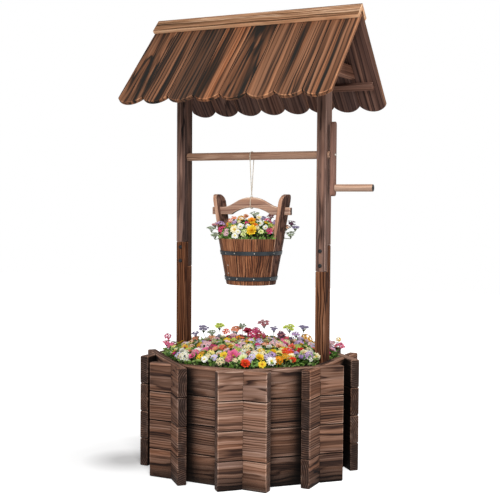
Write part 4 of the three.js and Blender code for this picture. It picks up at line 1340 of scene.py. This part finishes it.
def knot_mesh(name, steps=60):
    """A small overhand knot."""
    turn = circle(steps)
    line = np.stack([np.sin(turn) + 2 * np.sin(2 * turn), np.cos(turn) - 2 * np.cos(2 * turn),
                     -np.sin(3 * turn)], axis=1) * KNOT_REACH / 3
    ahead = [Vector(step) for step in np.roll(line, -1, axis=0) - np.roll(line, 1, axis=0)]
    side = [unit(along.cross(Vector((0.1, 0.2, 1)))) for along in ahead]
    up = [unit(across.cross(along)) for along, across in zip(ahead, side)]
    points = tube(line + np.array(KNOT_PLACE), side, up, KNOT_CORD_RADIUS, PLY_SIDES).reshape(-1, 3)
    mesh = mesh_from(name, points, strip_faces(steps, PLY_SIDES, closed=True, looped=True))
    mesh.shade_smooth()
    return mesh


def make_rope():
    mesh, line = twisted("rope_strands", loop_line())
    piece = dress(link("rope_strands", mesh), [twine], "rope_loop")
    dress(link("rope_knot", knot_mesh("rope_knot")), [twine], "rope_loop")
    mesh, _ = twisted("handle_tie_strands", tie_line())
    dress(link("handle_tie_strands", mesh), [twine], "handle_tie")


# Camera, light and backdrop
def camera_axes():
    """The camera's place, and what is to its right, up and ahead."""
    place = Vector((DISTANCE * sin(AZIMUTH), -DISTANCE * cos(AZIMUTH), EYE_HEIGHT))
    heading = AZIMUTH + YAW
    level = Vector((-sin(heading), cos(heading), 0))
    right = Vector((cos(heading), sin(heading), 0))
    ahead = level * cos(PITCH) - Vector((0, 0, sin(PITCH)))
    up = right.cross(ahead)
    return place, right * cos(ROLL) + up * sin(ROLL), up * cos(ROLL) - right * sin(ROLL), ahead


def sight_line(pixel):
    """The camera's place, and the direction in which it sees a pixel."""
    place, right, up, ahead = camera_axes()
    half = FRAME_PIXELS / 2
    return place, unit(ahead * FOCAL_PIXELS + right * (pixel[0] - half) + up * (half - pixel[1]))


def at_depth(pixel, depth):
    """The point of a pixel's sight line on an upright plane that faces the camera, behind the axis."""
    place, ray = sight_line(pixel)
    away = Vector((-sin(AZIMUTH), cos(AZIMUTH), 0))
    return place + ray * ((depth - place.dot(away)) / ray.dot(away))


def make_camera():
    place, right, up, ahead = camera_axes()
    data = bpy.data.cameras.new("camera")
    data.sensor_fit = "HORIZONTAL"
    data.sensor_width = 36
    data.lens = FOCAL_PIXELS * data.sensor_width / FRAME_PIXELS
    data.clip_start = 0.05
    data.clip_end = 50
    camera = link("camera", data)
    turn = Matrix((right, up, -ahead)).transposed().to_4x4()
    camera.matrix_world = Matrix.Translation(place) @ turn
    bpy.context.scene.camera = camera


LAMP_DISTANCE = 2.2
LAMP_TARGET = Vector((0, 0, 0.5))
WORLD_LEVEL = 0.3
FLOOR_RADIUS = 5.0
FLOOR_COLOUR = (0.9, 0.9, 0.9, 1)
# The floor's glow is lowest at this place beside the base, where it paints a shadow
PAINTED_SHADOW_PLACE = (-0.29, -0.13, 0)
FLOOR_GLOW = [(0.03, 0.0), (0.12, 0.4), (0.5, 0.7), (1.0, 1.0)]  # by the distance from there


def lamp(name, azimuth, height, size, level):
    """A round lamp that lights a white surface facing it, at the lamps' target, to a level."""
    data = bpy.data.lights.new(name, "AREA")
    data.shape = "DISK"
    data.size = size
    data.energy = level * (pi * LAMP_DISTANCE) ** 2
    turn = radians(azimuth)
    rise = radians(height)
    out = Vector((sin(turn) * cos(rise), -cos(turn) * cos(rise), sin(rise)))
    made = link(name, data)
    made.location = LAMP_TARGET + LAMP_DISTANCE * out
    made.rotation_euler = (-out).to_track_quat("-Z", "Y").to_euler()


def background(s, strength):
    """White light of a strength."""
    made = s.node("ShaderNodeBackground")
    made.inputs["Color"].default_value = (1, 1, 1, 1)
    made.inputs["Strength"].default_value = strength
    return made.outputs[0]


def seen_directly(s):
    """1 for what the camera sees by itself, in gloss or through glass, else 0."""
    rays = s.node("ShaderNodeLightPath").outputs
    direct = s.math("MAXIMUM", rays["Is Camera Ray"], rays["Is Glossy Ray"])
    return s.math("MAXIMUM", direct, rays["Is Transmission Ray"])


def make_world():
    world = bpy.data.worlds.new("studio")
    bpy.context.scene.world = world
    world.use_nodes = True
    s = Nodes(world.node_tree)
    mix = s.node("ShaderNodeMixShader")
    s.feed(mix.inputs["Fac"], seen_directly(s))
    s.feed(mix.inputs[1], background(s, WORLD_LEVEL))
    s.feed(mix.inputs[2], background(s, 1.0))
    s.feed(s.tree.nodes["World Output"].inputs["Surface"], mix.outputs[0])


def make_studio_floor():
    """A white floor that keeps the well's shadow, has a painted shadow beside the base where its glow dips,
    and fades into the background.
    """
    reach = FLOOR_RADIUS
    corners = [(-reach, -reach, 0), (reach, -reach, 0), (reach, reach, 0), (-reach, reach, 0)]
    mesh = mesh_from("floor", corners, [(0, 1, 2, 3)])
    floor = link("floor", mesh)
    s = Shader("floor")
    s.surface("Roughness", 1.0)
    s.surface("Specular IOR Level", 0.0)
    s.surface("Base Color", FLOOR_COLOUR)
    place = s.node("ShaderNodeTexCoord").outputs["Object"]
    # Less glow near the place beside the base: a painted shadow there
    level = s.curve(s.vector("DISTANCE", place, PAINTED_SHADOW_PLACE), FLOOR_GLOW)
    glow = s.node("ShaderNodeEmission")
    s.feed(glow.inputs["Strength"], s.times(level, seen_directly(s)))
    both = s.node("ShaderNodeAddShader")
    s.feed(both.inputs[0], s.bsdf.outputs[0])
    s.feed(both.inputs[1], glow.outputs[0])
    s.feed(s.tree.nodes["Material Output"].inputs["Surface"], both.outputs[0])
    mesh.materials.append(s.material)


def make_studio():
    bpy.context.scene.view_settings.view_transform = "Standard"
    make_world()
    lamp("key", azimuth=22, height=32, size=1.1, level=0.82)
    lamp("side", azimuth=112, height=46, size=0.6, level=0.3)
    make_studio_floor()


make_camera()
make_rope()
make_wall()
make_frame()
make_roof()
make_bucket()
make_fixings()
make_floor()
make_flowers()
make_studio()
bpy.context.view_layer.update()
